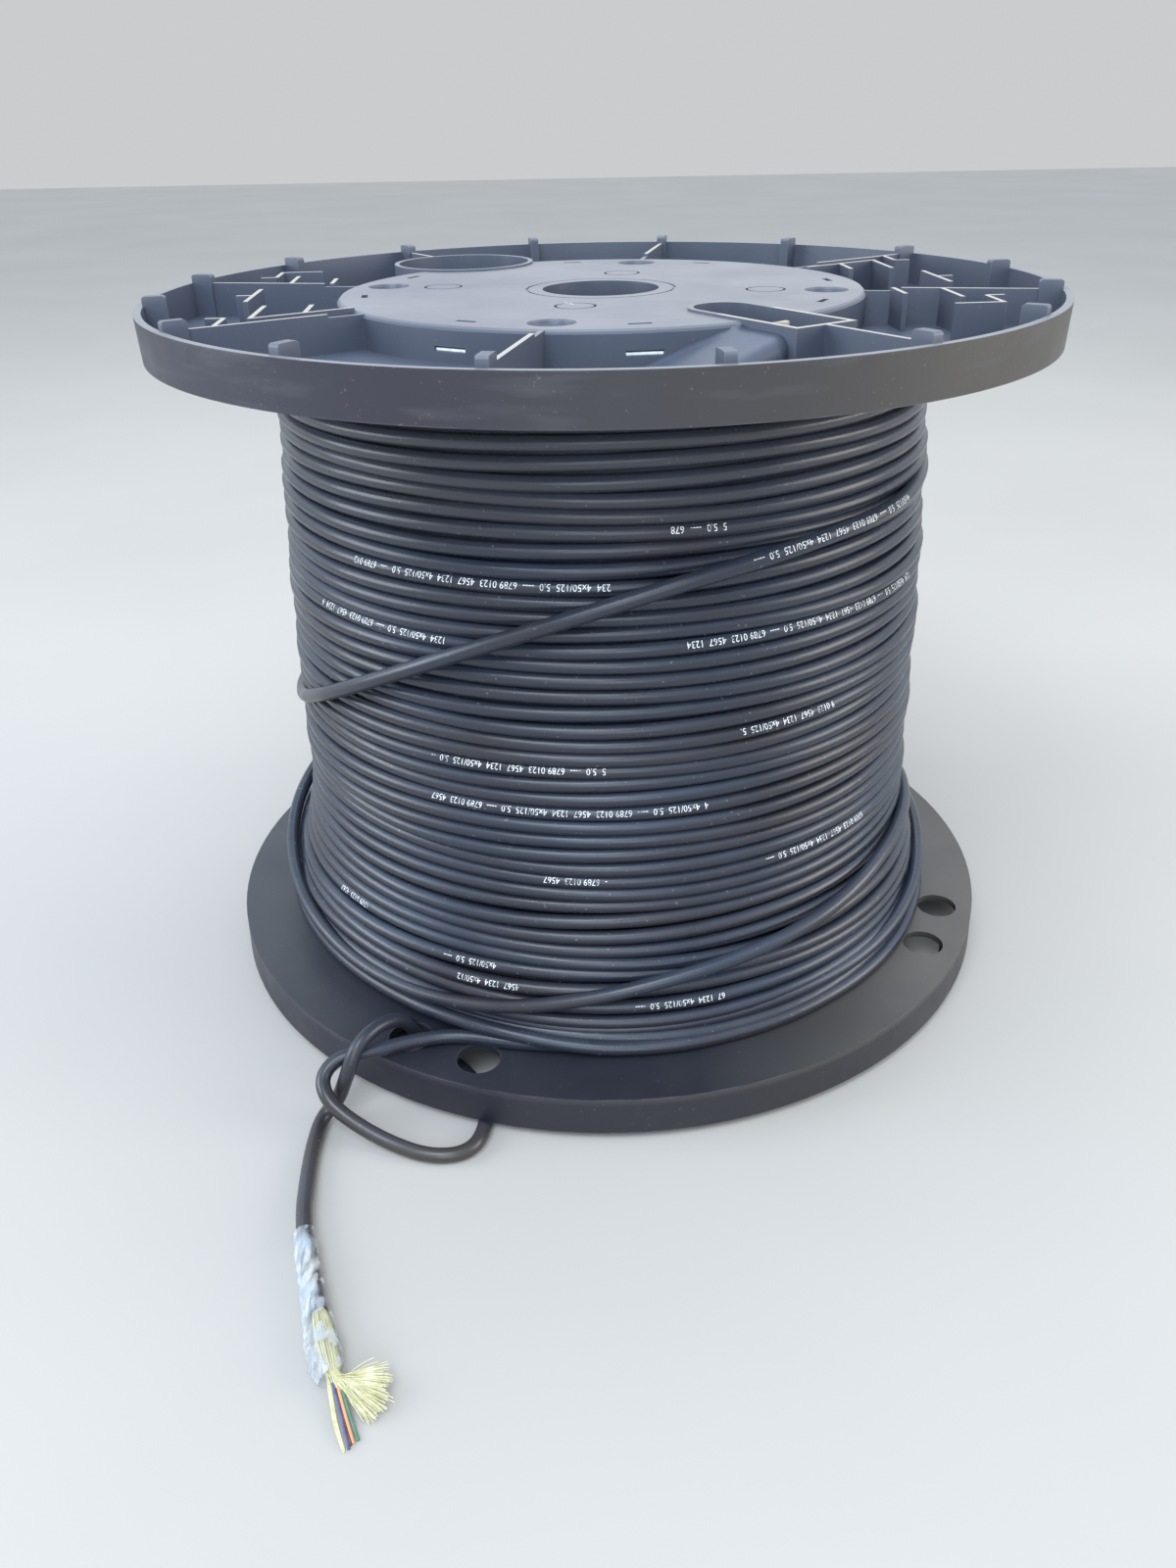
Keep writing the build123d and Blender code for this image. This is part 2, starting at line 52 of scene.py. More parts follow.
camera = bpy.data.objects.new("camera", bpy.data.cameras.new("camera"))
camera.data.lens = CAMERA_LENS
camera.data.sensor_width = FILM_WIDTH
camera.data.clip_start = NEAREST_SEEN
camera.matrix_world = (
    Matrix.Translation(CAMERA_PLACE)
    @ Matrix.Rotation(math.radians(-CAMERA_PAN), 4, "Z")
    @ Matrix.Rotation(math.radians(90 + CAMERA_PITCH), 4, "X")
    @ Matrix.Rotation(math.radians(-CAMERA_ROLL), 4, "Z")
)
bpy.context.scene.collection.objects.link(camera)
bpy.context.scene.camera = camera
bpy.context.scene.view_settings.view_transform = "Standard"


# Both flanges are one moulding of black plastic, used twice and snapped onto the barrel's ends. It is dusty
# where it faces up, and the tops of the rim, ribs and fins are scraped pale; light and shade are painted on
# it too, with highlights on its tops and edges.
HUB_PLATE_TOP = 0.2435
RIM_TOP_EDGE = 0.2443
PLASTIC_DARK = (0.019, 0.020, 0.038, 1)
PLASTIC_WARM_REFLECTED = (0.062, 0.057, 0.048, 1)
SKY_LIT_WELL_BLUE = (0.080, 0.096, 0.138, 1)
SHADED_LOWER_DUST = (0.014, 0.018, 0.029, 1)
SKY_LIT_WEB_DUST = (0.078, 0.100, 0.150, 1)
PLATE_LEFT = (0.221, 0.227, 0.266, 1)
PLATE_RIGHT = (0.288, 0.281, 0.290, 1)
SHEEN_LEFT = (0.056, 0.062, 0.076, 1)
SHEEN_RIGHT = (0.120, 0.116, 0.110, 1)
RIM_SHADE = (0.009, 0.010, 0.018, 1)
SCUFF_PALE = (0.10, 0.10, 0.115, 1)
CORNER_WEAR_AND_HIGHLIGHT = (0.20, 0.21, 0.24, 1)
WORN_AND_HIGHLIT_EDGE = (0.21, 0.22, 0.245, 1)
SCRAPED = (0.46, 0.44, 0.40, 1)
SPECK_PALE = (0.30, 0.30, 0.32, 1)
GLINT_WHITE = (0.85, 0.88, 0.90, 1)
# Where each part of the moulding begins, as heights or as distances from the axis: a mask grows from
# 0 at the first number to 1 at the second
UPPER_FLANGE = (0.10, 0.12)
LOWER_FLANGE = (0.12, 0.10)
LOWER_RIM = (0.0155, 0.0140)
LUG_TOPS = (0.2447, 0.2468)
INSIDE_RIM = (0.1515, 0.1505)
PAST_HUB = (0.076, 0.078)
SHORT_OF_RIM = (0.149, 0.148)
FROM_LEFT_TO_RIGHT = (-0.10, 0.15)
# The lower flange has a painted sheen on both sides, as reflected light: each colour, and where it begins
# and ends along X
SIDE_SHEENS = ((SHEEN_LEFT, -0.06, -0.13), (SHEEN_RIGHT, 0.03, 0.12))
CUP_CENTRE = (-0.0545, 0.0802, 0)
CUP_OUTER_RADIUS = 0.0275
# A painted white glint inside the front knock-out ring, where a smooth tilted face reflects the sky
GLINT_PLACE = (-0.0100, -0.0361, 0)
GLINT_SIZE = (0.0032, 0.0005)
GLINT_TURN = -52
# How far from a sharp corner the plastic is rubbed and a highlight is painted
RUB_AND_HIGHLIGHT_RADIUS = 0.0006


def new_material(name):
    """A material with its nodes, its links and its shader."""
    material = bpy.data.materials.new(name)
    material.use_nodes = True
    nodes = material.node_tree.nodes
    return material, nodes, material.node_tree.links, nodes["Principled BSDF"]


def new_group(name, *outputs):
    """A node group that only gives out masks, with one output for each name."""
    group = bpy.data.node_groups.new(name, "ShaderNodeTree")
    for label in outputs:
        group.interface.new_socket(name=label, in_out="OUTPUT", socket_type="NodeSocketFloat")
    return group, group.nodes.new("NodeGroupOutput")


def group_node(nodes, group):
    """A shared node group placed in this material."""
    node = nodes.new("ShaderNodeGroup")
    node.node_tree = group
    return node


def noise_of(nodes, links, scale, detail=2.0, stretch=(1, 1, 1)):
    """A noise texture on the object's own coordinates, longer along the axes with a small stretch."""
    place = nodes.new("ShaderNodeTexCoord")
    mapping = nodes.new("ShaderNodeMapping")
    mapping.inputs["Scale"].default_value = stretch
    texture = nodes.new("ShaderNodeTexNoise")
    texture.inputs["Scale"].default_value = scale
    texture.inputs["Detail"].default_value = detail
    links.new(place.outputs["Object"], mapping.inputs["Vector"])
    links.new(mapping.outputs["Vector"], texture.inputs["Vector"])
    return texture.outputs["Fac"]


def ramp_of(nodes, links, value, low, high, to_low=0.0, to_high=1.0):
    """The value mapped from one range to another and held inside it."""
    node = nodes.new("ShaderNodeMapRange")
    node.inputs["From Min"].default_value = low
    node.inputs["From Max"].default_value = high
    node.inputs["To Min"].default_value = to_low
    node.inputs["To Max"].default_value = to_high
    links.new(value, node.inputs["Value"])
    return node.outputs["Result"]


def times(nodes, links, first, second):
    """Two values multiplied; the second may be a number."""
    node = nodes.new("ShaderNodeMath")
    node.operation = "MULTIPLY"
    links.new(first, node.inputs[0])
    if isinstance(second, (int, float)):
        node.inputs[1].default_value = second
    else:
        links.new(second, node.inputs[1])
    return node.outputs[0]


def blend(nodes, links, mask, first, second):
    """One colour where the mask is 0 and the other where it is 1; each a colour or an output."""
    node = nodes.new("ShaderNodeMix")
    node.data_type = "RGBA"
    links.new(mask, node.inputs["Factor"])
    for socket, paint in ((node.inputs[6], first), (node.inputs[7], second)):
        if isinstance(paint, tuple):
            socket.default_value = paint
        else:
            links.new(paint, socket)
    return node.outputs[2]


def add_bump(nodes, links, shader, height, distance):
    """The shader's surface raised by this height, at most by the distance."""
    bump = nodes.new("ShaderNodeBump")
    bump.inputs["Distance"].default_value = distance
    links.new(height, bump.inputs["Height"])
    links.new(bump.outputs["Normal"], shader.inputs["Normal"])


def own_place(nodes, links):
    """The object's own coordinates, and the same split into X, Y and Z."""
    place = nodes.new("ShaderNodeTexCoord")
    split = nodes.new("ShaderNodeSeparateXYZ")
    links.new(place.outputs["Object"], split.inputs["Vector"])
    return place.outputs["Object"], split.outputs


def level_band(nodes, links, height, level, half):
    """A mask that is 1 within half of a height."""
    node = nodes.new("ShaderNodeMath")
    node.operation = "COMPARE"
    links.new(height, node.inputs[0])
    node.inputs[1].default_value = level
    node.inputs[2].default_value = half
    return node.outputs[0]


def flat_distance(nodes, links, coordinates, centre):
    """How far a point lies from an upright line through the centre."""
    flat = nodes.new("ShaderNodeVectorMath")
    flat.operation = "MULTIPLY"
    flat.inputs[1].default_value = (1, 1, 0)
    away = nodes.new("ShaderNodeVectorMath")
    away.operation = "DISTANCE"
    away.inputs[1].default_value = centre
    links.new(coordinates, flat.inputs[0])
    links.new(flat.outputs["Vector"], away.inputs[0])
    return away.outputs["Value"]


def dress(name, material):
    """One of the frame's own nodes in this material."""
    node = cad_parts[name]
    node.data.materials.clear()
    node.data.materials.append(material)


dust_group, dust_out = new_group("dust", "Specks", "Smudges", "Facing up")
nodes = dust_group.nodes
links = dust_group.links
specks = ramp_of(nodes, links, noise_of(nodes, links, 900, 1), 0.73, 0.78)
smudges = ramp_of(nodes, links, noise_of(nodes, links, 16, 5), 0.35, 0.70)
surface = nodes.new("ShaderNodeNewGeometry")
split = nodes.new("ShaderNodeSeparateXYZ")
links.new(surface.outputs["Normal"], split.inputs["Vector"])
facing_up = ramp_of(nodes, links, split.outputs["Z"], 0.2, 0.95)
links.new(specks, dust_out.inputs["Specks"])
links.new(smudges, dust_out.inputs["Smudges"])
links.new(facing_up, dust_out.inputs["Facing up"])

# Rubbed plastic and painted highlights on the sharp corners: where the rounded normal turns away from the
# true one, in patches
wear_and_highlight_group, wear_and_highlight_out = new_group("edge wear", "Edges")
nodes = wear_and_highlight_group.nodes
links = wear_and_highlight_group.links
soft = nodes.new("ShaderNodeBevel")
soft.samples = 4
soft.inputs["Radius"].default_value = RUB_AND_HIGHLIGHT_RADIUS
sharp = nodes.new("ShaderNodeNewGeometry")
compare = nodes.new("ShaderNodeVectorMath")
compare.operation = "DOT_PRODUCT"
links.new(soft.outputs["Normal"], compare.inputs[0])
links.new(sharp.outputs["Normal"], compare.inputs[1])
bent = ramp_of(nodes, links, compare.outputs["Value"], 0.999, 0.93)
patchy = ramp_of(nodes, links, noise_of(nodes, links, 90, 4), 0.35, 0.65)
links.new(times(nodes, links, bent, patchy), wear_and_highlight_out.inputs["Edges"])

reel_material, nodes, links, shader = new_material("reel plastic")
dust = group_node(nodes, dust_group)
wear_and_highlight = group_node(nodes, wear_and_highlight_group)
place, axes = own_place(nodes, links)
height = axes["Z"]
radius = flat_distance(nodes, links, place, (0, 0, 0))
upper = ramp_of(nodes, links, height, *UPPER_FLANGE)
lower = ramp_of(nodes, links, height, *LOWER_FLANGE)
to_right = ramp_of(nodes, links, axes["X"], *FROM_LEFT_TO_RIGHT)
# The bare plastic, scuffed: painted darker and bluer on the left and warmer on the right as reflected
# light, and painted with sky light inside the upper rim
paint = blend(nodes, links, to_right, PLASTIC_DARK, PLASTIC_WARM_REFLECTED)
scuffs = ramp_of(nodes, links, noise_of(nodes, links, 26, 6, (1, 1, 7)), 0.56, 0.72)
paint = blend(nodes, links, times(nodes, links, scuffs, 0.30), paint, SCUFF_PALE)
inside = times(nodes, links, ramp_of(nodes, links, radius, *INSIDE_RIM), upper)
paint = blend(nodes, links, times(nodes, links, inside, 0.85), paint, SKY_LIT_WELL_BLUE)
# The film of dust on what faces up, painted paler as sky light on the upper flange and darker as shade on
# the lower; the lower flange's painted sheen, and painted shade on its rim
film = ramp_of(nodes, links, dust.outputs["Smudges"], 0, 1, 0.55, 1.0)
film = times(nodes, links, film, dust.outputs["Facing up"])
paint = blend(nodes, links, film, paint, blend(nodes, links, upper, SHADED_LOWER_DUST, SKY_LIT_WEB_DUST))
for sheen, begins, ends in SIDE_SHEENS:
    sideways = times(nodes, links, ramp_of(nodes, links, axes["X"], begins, ends), lower)
    paint = blend(nodes, links, times(nodes, links, sideways, film), paint, sheen)
near_floor = ramp_of(nodes, links, height, *LOWER_RIM, 0.0, 0.7)
paint = blend(nodes, links, near_floor, paint, RIM_SHADE)
# The hub's plate, the corners rubbed and painted with highlights, and the scraped tops of the ribs, but not
# of the round cup
on_plate = times(nodes, links, level_band(nodes, links, height, HUB_PLATE_TOP, 0.0006), film)
# The plate's dust is painted paler and warmer on the right as reflected light
plate_paint = blend(nodes, links, to_right, PLATE_LEFT, PLATE_RIGHT)
paint = blend(nodes, links, on_plate, paint, plate_paint)
rubbed_and_highlit_corners = times(nodes, links, wear_and_highlight.outputs["Edges"], 0.35)
paint = blend(nodes, links, rubbed_and_highlit_corners, paint, CORNER_WEAR_AND_HIGHLIGHT)
# The tops of the rim and fins are worn and painted with a highlight where they face up
top_level = level_band(nodes, links, height, RIM_TOP_EDGE, 0.00015)
tops = times(nodes, links, top_level, dust.outputs["Facing up"])
paint = blend(nodes, links, tops, paint, WORN_AND_HIGHLIT_EDGE)
past_hub = ramp_of(nodes, links, radius, *PAST_HUB)
short_of_rim = ramp_of(nodes, links, radius, *SHORT_OF_RIM)
from_cup = flat_distance(nodes, links, place, CUP_CENTRE)
off_cup = ramp_of(nodes, links, from_cup, CUP_OUTER_RADIUS + 0.0002, CUP_OUTER_RADIUS + 0.0006)
on_ribs = times(nodes, links, times(nodes, links, past_hub, short_of_rim), off_cup)
scraped_tops = times(nodes, links, times(nodes, links, tops, on_ribs), 0.9)
paint = blend(nodes, links, scraped_tops, paint, SCRAPED)
# The painted glint on the plate, the lugs' tips worn and painted with a highlight, and the specks of dust
glint = nodes.new("ShaderNodeMapping")
glint.vector_type = "TEXTURE"
glint.inputs["Location"].default_value = GLINT_PLACE
glint.inputs["Rotation"].default_value = (0, 0, math.radians(GLINT_TURN))
glint.inputs["Scale"].default_value = (*GLINT_SIZE, 1)
links.new(place, glint.inputs["Vector"])
from_glint = flat_distance(nodes, links, glint.outputs["Vector"], (0, 0, 0))
in_glint = times(nodes, links, ramp_of(nodes, links, from_glint, 1.0, 0.6), on_plate)
paint = blend(nodes, links, in_glint, paint, GLINT_WHITE)
lug_tops = times(nodes, links, ramp_of(nodes, links, height, *LUG_TOPS), 0.25)
paint = blend(nodes, links, lug_tops, paint, WORN_AND_HIGHLIT_EDGE)
paint = blend(nodes, links, times(nodes, links, dust.outputs["Specks"], 0.2), paint, SPECK_PALE)
links.new(paint, shader.inputs["Base Color"])
rough = ramp_of(nodes, links, noise_of(nodes, links, 40, 5), 0.3, 0.7, 0.36, 0.52)
links.new(rough, shader.inputs["Roughness"])
add_bump(nodes, links, shader, noise_of(nodes, links, 900, 3), 0.00004)
dress("top_flange", reel_material)
dress("bottom_flange", reel_material)


# A ramp is moulded on the upper flange's hub and leads the cable's first end from the slot down to
# the web. Its outer edge is rounded, a fillet joins it to the skirt, and it runs out on the web.
FLANGE_TURN = -10.8
SLOT_ANGLE = -45.0
RAMP_START = 0.0108
RAMP_REACH = 0.0310
RAMP_OUTER = 0.1080
RAMP_ROUND = 0.0045
RAMP_FOOT = 0.2310
RAMP_WALL = 0.0016
RAMP_SQUARES = 8
# The ramp's height by the share of its length, and its fillet on the skirt: radius and rise
RAMP_TOPS = [(0.0, 0.2422), (0.25, 0.2404), (0.5, 0.2379), (0.75, 0.2349), (1.0, 0.2314)]
RAMP_FILLET = [(0.0888, 0.0012), (0.0898, 0.0003), (0.0912, 0.0)]


def along_table(table, share):
    """A value read from a table of (share, value) rows, straight between the rows."""
    for (low, low_value), (high, high_value) in zip(table, table[1:]):
        if share <= high:
            return low_value + (high_value - low_value) * (share - low) / (high - low)
    return table[-1][1]


def mesh_of(name, shape):
    """The mesh of a finished bmesh, which is then freed."""
    mesh = bpy.data.meshes.new(name)
    shape.to_mesh(mesh)
    shape.free()
    return mesh


def piece(name, mesh, material, slot, *nodes):
    """A finished piece of the reel that stands for these nodes."""
    made = bpy.data.objects.new(name, mesh)
    bpy.context.scene.collection.objects.link(made)
    made.data.materials.clear()
    made.data.materials.append(material)
    for face in made.data.polygons:
        face.use_smooth = True
    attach(made, "root")
    if nodes:
        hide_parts(*nodes)
    return made


def add_wall(made, thickness, offset):
    """A piece that is one open sheet gets its thickness."""
    wall = made.modifiers.new("wall", "SOLIDIFY")
    wall.thickness = thickness
    wall.offset = offset


ramp = bmesh.new()
bmesh.ops.create_grid(ramp, x_segments=RAMP_SQUARES, y_segments=RAMP_SQUARES, size=1)
first_bend = len(RAMP_FILLET)
last_bend = RAMP_SQUARES - 1
for vertex in ramp.verts:
    column = round((vertex.co.x + 1) * RAMP_SQUARES / 2)
    share = (vertex.co.y + 1) / 2
    along = RAMP_START + RAMP_REACH * share
    if column < first_bend:
        fillet_radius, rise = RAMP_FILLET[column]
        out = math.sqrt(fillet_radius**2 - along**2)
    else:
        bend = math.radians(90 * (min(column, last_bend) - first_bend) / (last_bend - first_bend))
        out = RAMP_OUTER - RAMP_ROUND * (1 - math.sin(bend))
        rise = RAMP_ROUND * (math.cos(bend) - 1)
    top = max(RAMP_FOOT, along_table(RAMP_TOPS, share) + rise)
    vertex.co = (out, -along, RAMP_FOOT if column == RAMP_SQUARES else top)
ramp_turn = Matrix.Rotation(math.radians(SLOT_ANGLE + FLANGE_TURN), 3, "Z")
bmesh.ops.rotate(ramp, verts=ramp.verts, matrix=ramp_turn)
bmesh.ops.recalc_face_normals(ramp, faces=ramp.faces)
if sum(face.normal.z for face in ramp.faces) < 0:
    bmesh.ops.reverse_faces(ramp, faces=ramp.faces)
slot_ramp = piece("slot_ramp", mesh_of("slot_ramp", ramp), reel_material, "reel_plastic")
add_wall(slot_ramp, RAMP_WALL, -1)


# A short pale stub of scraped plastic stands out from the slot's wall into the slot, at the rim's
# height. Its edges are a little rounded.
STUB_FROM = Vector((0.0444, -0.0820, 0.2412))
STUB_TO = Vector((0.0538, -0.0745, 0.2412))
STUB_THICKNESS = 0.0016
STUB_HEIGHT = 0.0036
STUB_EDGE = 0.0003
STUB_BROWN = (0.20, 0.18, 0.15, 1)
STUB_PALE = (0.50, 0.46, 0.38, 1)


def mottle(nodes, links, first, second, scale, detail, low, high, stretch=(1, 1, 1)):
    """Two colours in soft patches: the second lies where the noise is above the low value."""
    patches = ramp_of(nodes, links, noise_of(nodes, links, scale, detail, stretch), low, high)
    return blend(nodes, links, patches, first, second)


stub_line = STUB_TO - STUB_FROM
stub = bmesh.new()
bmesh.ops.create_cube(stub, size=1)
bmesh.ops.scale(stub, verts=stub.verts, vec=(stub_line.length, STUB_THICKNESS, STUB_HEIGHT))
bmesh.ops.bevel(
    stub, geom=stub.edges[:], affect="EDGES", offset=STUB_EDGE, segments=2, profile=0.5, material=-1
)
bmesh.ops.rotate(stub, verts=stub.verts, matrix=stub_line.to_track_quat("X", "Z").to_matrix())
bmesh.ops.translate(stub, verts=stub.verts, vec=(STUB_FROM + STUB_TO) / 2)
stub_material, nodes, links, shader = new_material("scraped stub")
paint = mottle(nodes, links, STUB_BROWN, STUB_PALE, 300, 4, 0.35, 0.65)
links.new(paint, shader.inputs["Base Color"])
shader.inputs["Roughness"].default_value = 0.6
add_bump(nodes, links, shader, noise_of(nodes, links, 900, 3), 0.00004)
piece("slot_stub", mesh_of("slot_stub", stub), stub_material, "reel_plastic")


# Tabs at the barrel's end snap into eight windows in the hub's skirt, two in each quarter. Their lower
# halves are painted bright and made to glow, standing for the light that falls in there; their upper halves
# take the painted sky light of the well.
TAB_RADIUS = 0.0876
TAB_SIZE = (0.0010, 0.0106, 0.0012)
TAB_HEIGHT = 0.2370
TAB_ANGLE = 18.8
TAB_LIGHT = 0.9
TAB_SHADED = (0.50, 0.60, 0.64, 1)
TAB_BRIGHT = (0.74, 0.82, 0.84, 1)
NO_LIGHT = (0, 0, 0, 1)

tabs = bmesh.new()
for quarter in range(4):
    for side in (-1, 1):
        angle = math.radians(FLANGE_TURN + 90 * quarter + TAB_ANGLE * side)
        made = bmesh.ops.create_cube(tabs, size=1)["verts"]
        bmesh.ops.scale(tabs, verts=made, vec=TAB_SIZE)
        bmesh.ops.translate(tabs, verts=made, vec=(TAB_RADIUS, 0, TAB_HEIGHT))
        bmesh.ops.rotate(tabs, verts=made, matrix=Matrix.Rotation(angle, 3, "Z"))
tab_material, nodes, links, shader = new_material("lit tabs")
lit = mottle(nodes, links, TAB_SHADED, TAB_BRIGHT, 700, 3, 0.35, 0.65)
place, axes = own_place(nodes, links)
low_part = ramp_of(nodes, links, axes["Z"], TAB_HEIGHT + 0.0002, TAB_HEIGHT)
links.new(blend(nodes, links, low_part, SKY_LIT_WELL_BLUE, lit), shader.inputs["Base Color"])
links.new(blend(nodes, links, low_part, NO_LIGHT, lit), shader.inputs["Emission Color"])
shader.inputs["Emission Strength"].default_value = TAB_LIGHT
shader.inputs["Roughness"].default_value = 0.3
piece("snap_tabs", mesh_of("snap_tabs", tabs), tab_material, "barrel_plastic")


# The barrel is a tube of the same black plastic that joins the two flanges. The cable is wound on it
# and hides it.
BARREL_RUBBED = (0.045, 0.046, 0.052, 1)

barrel_material, nodes, links, shader = new_material("barrel plastic")
paint = mottle(nodes, links, PLASTIC_DARK, BARREL_RUBBED, 30, 5, 0.4, 0.7, (1, 1, 4))
links.new(paint, shader.inputs["Base Color"])
shader.inputs["Roughness"].default_value = 0.5
add_bump(nodes, links, shader, noise_of(nodes, links, 900, 3), 0.00004)
dress("barrel", barrel_material)


# The cable has a round black jacket and is wound on the barrel in layers. The outer layer wanders a
# little as it climbs, and a second layer shows in the gaps between its turns.
CABLE_DIAMETER = 0.005
WINDING_BOTTOM = 0.0167
WINDING_WIDTH = 0.2137
# The winding's outer radius by the height above the lower flange's web
WINDING_SIDE = [(0.0, 0.1313), (0.014, 0.1280), (0.050, 0.1185), (0.130, 0.1165), (0.2137, 0.1115)]
TURNS = 43
TURN_PITCH = WINDING_WIDTH / TURNS
CABLE_SIDES = 8
OUTER_STEPS = 96
UNDER_STEPS = 60
UNDER_DEPTH = 0.0036
# The turns swing out and up by these amounts, so many times a turn, and more freely near the foot
WANDER = 0.0008
UNDER_WANDER = 0.0002
OUT_RATES = (0.83, 2.17, 3.41)
OUT_PHASE = 1.3
LIFT_RATES = (1.13, 1.91, 4.2)
LIFT_PHASE = 0.7
LIFT_TO_OUT = 1.5
FOOT_FREEDOM = 1.4
FOOT_HEIGHT = 0.05
# The lowest turns lean to one side
LEAN = 0.0022
LEAN_ANGLE = -175
LEAN_HEIGHT = 0.07
SPIN_RADIUS = 0.1
JACKET_BLACK = (0.019, 0.025, 0.041, 1)
JACKET_WARM = (0.023, 0.023, 0.032, 1)
JACKET_DUST = (0.082, 0.108, 0.162, 1)
JACKET_PAINTED_TOP_LIGHT = (0.052, 0.055, 0.068, 1)
JACKET_END_WARM_LIT = (0.046, 0.040, 0.035, 1)
# Painted light: the winding's top is paler from this height up, to lift the flange's shade, and the free
# end is browner in front, lit out of the reel's shade
PAINTED_TOP_LIGHT_HEIGHTS = (0.185, 0.225)
END_LIT_PLACES = (-0.135, -0.160)

jacket_material, nodes, links, shader = new_material("cable jacket")
dust = group_node(nodes, dust_group)
place, axes = own_place(nodes, links)
body = mottle(nodes, links, JACKET_BLACK, JACKET_WARM, 9, 2, 0.42, 0.62, (1, 1, 6))
body = blend(nodes, links, ramp_of(nodes, links, axes["Z"], *PAINTED_TOP_LIGHT_HEIGHTS), body, JACKET_PAINTED_TOP_LIGHT)
body = blend(nodes, links, ramp_of(nodes, links, axes["Y"], *END_LIT_PLACES), body, JACKET_END_WARM_LIT)
film = times(nodes, links, dust.outputs["Facing up"], dust.outputs["Smudges"])
body = blend(nodes, links, times(nodes, links, film, 0.55), body, JACKET_DUST)
body = blend(nodes, links, times(nodes, links, dust.outputs["Specks"], 0.4), body, SPECK_PALE)
links.new(body, shader.inputs["Base Color"])
rough = ramp_of(nodes, links, noise_of(nodes, links, 60, 4), 0.3, 0.7, 0.24, 0.38)
links.new(rough, shader.inputs["Roughness"])
add_bump(nodes, links, shader, noise_of(nodes, links, 1500, 2), 0.00002)


def wander(turn, rates, phase):
    """A slow swing from -1 to 1 along the cable, which differs from each turn to the next."""
    swings = [math.sin(2 * math.pi * rate * turn + phase * (index + 1)) for index, rate in enumerate(rates)]
    return sum(swings) / len(rates)


def turn_place(turn, first_height, depth, swing):
    """Where the middle of the cable runs: its distance out and its height above the floor."""
    height = TURN_PITCH * turn + first_height - WINDING_BOTTOM
    freedom = 1 + FOOT_FREEDOM * max(0.0, 1 - height / FOOT_HEIGHT)
    side = along_table(WINDING_SIDE, min(max(height, 0.0), WINDING_WIDTH))
    out = side - CABLE_DIAMETER / 2 - depth
    out += swing * freedom * wander(turn, OUT_RATES, OUT_PHASE)
    lift = swing * LIFT_TO_OUT * freedom * wander(turn, LIFT_RATES, LIFT_PHASE)
    slack = max(0.0, 1 - height / LEAN_HEIGHT)
    lift += LEAN * slack * math.cos(2 * math.pi * turn - math.radians(LEAN_ANGLE))
    return out, WINDING_BOTTOM + height + lift


def wound_layer(count, steps, first_height, depth, swing):
    """Turns of cable up the drum as one tube: a turn is spun, repeated and then let wander."""
    layer = bmesh.new()
    bmesh.ops.create_circle(layer, segments=CABLE_SIDES, radius=CABLE_DIAMETER / 2)
    flat_side_out = Matrix.Rotation(math.pi / CABLE_SIDES, 3, "Z")
    upright = Matrix.Rotation(math.pi / 2, 3, "X")
    bmesh.ops.rotate(layer, verts=layer.verts, matrix=flat_side_out)
    bmesh.ops.rotate(layer, verts=layer.verts, matrix=upright)
    bmesh.ops.translate(layer, verts=layer.verts, vec=(SPIN_RADIUS, 0, first_height))
    bmesh.ops.spin(
        layer,
        geom=layer.verts[:] + layer.edges[:],
        cent=(0, 0, 0),
        axis=(0, 0, 1),
        dvec=(0, 0, TURN_PITCH / steps),
        angle=2 * math.pi,
        steps=steps,
    )
    turn_geometry = layer.verts[:] + layer.edges[:] + layer.faces[:]
    for turn in range(1, count):
        copied = bmesh.ops.duplicate(layer, geom=turn_geometry)
        verts = [part for part in copied["geom"] if isinstance(part, bmesh.types.BMVert)]
        bmesh.ops.translate(layer, verts=verts, vec=(0, 0, TURN_PITCH * turn))
    bmesh.ops.remove_doubles(layer, verts=layer.verts, dist=0.00001)
    bmesh.ops.holes_fill(layer, edges=layer.edges, sides=CABLE_SIDES)
    bmesh.ops.recalc_face_normals(layer, faces=layer.faces)
    for vertex in layer.verts:
        around = math.atan2(vertex.co.y, vertex.co.x) / (2 * math.pi) % 1
        turn = round((vertex.co.z - first_height) / TURN_PITCH - around) + around
        spun_out = math.hypot(vertex.co.x, vertex.co.y)
        out, height = turn_place(turn, first_height, depth, swing)
        wanted = out + spun_out - SPIN_RADIUS
        vertex.co.x *= wanted / spun_out
        vertex.co.y *= wanted / spun_out
        vertex.co.z += height - (first_height + TURN_PITCH * turn)
        vertex.co.z = min(max(vertex.co.z, WINDING_BOTTOM), WINDING_BOTTOM + WINDING_WIDTH)
    return layer


outer_layer = wound_layer(TURNS, OUTER_STEPS, WINDING_BOTTOM + TURN_PITCH * 0.5, 0.0, WANDER)
under_layer = wound_layer(TURNS - 1, UNDER_STEPS, WINDING_BOTTOM + TURN_PITCH, UNDER_DEPTH, UNDER_WANDER)
outer_layer.from_mesh(mesh_of("under turns", under_layer))
winding_mesh = mesh_of("cable_turns", outer_layer)
piece("cable_turns", winding_mesh, jacket_material, "cable_jacket", "cable_winding")


# A few turns of the same cable lie loose on top of the others. One crosses the front from high right
# to low left, and the rest are spread over the foot of the winding.

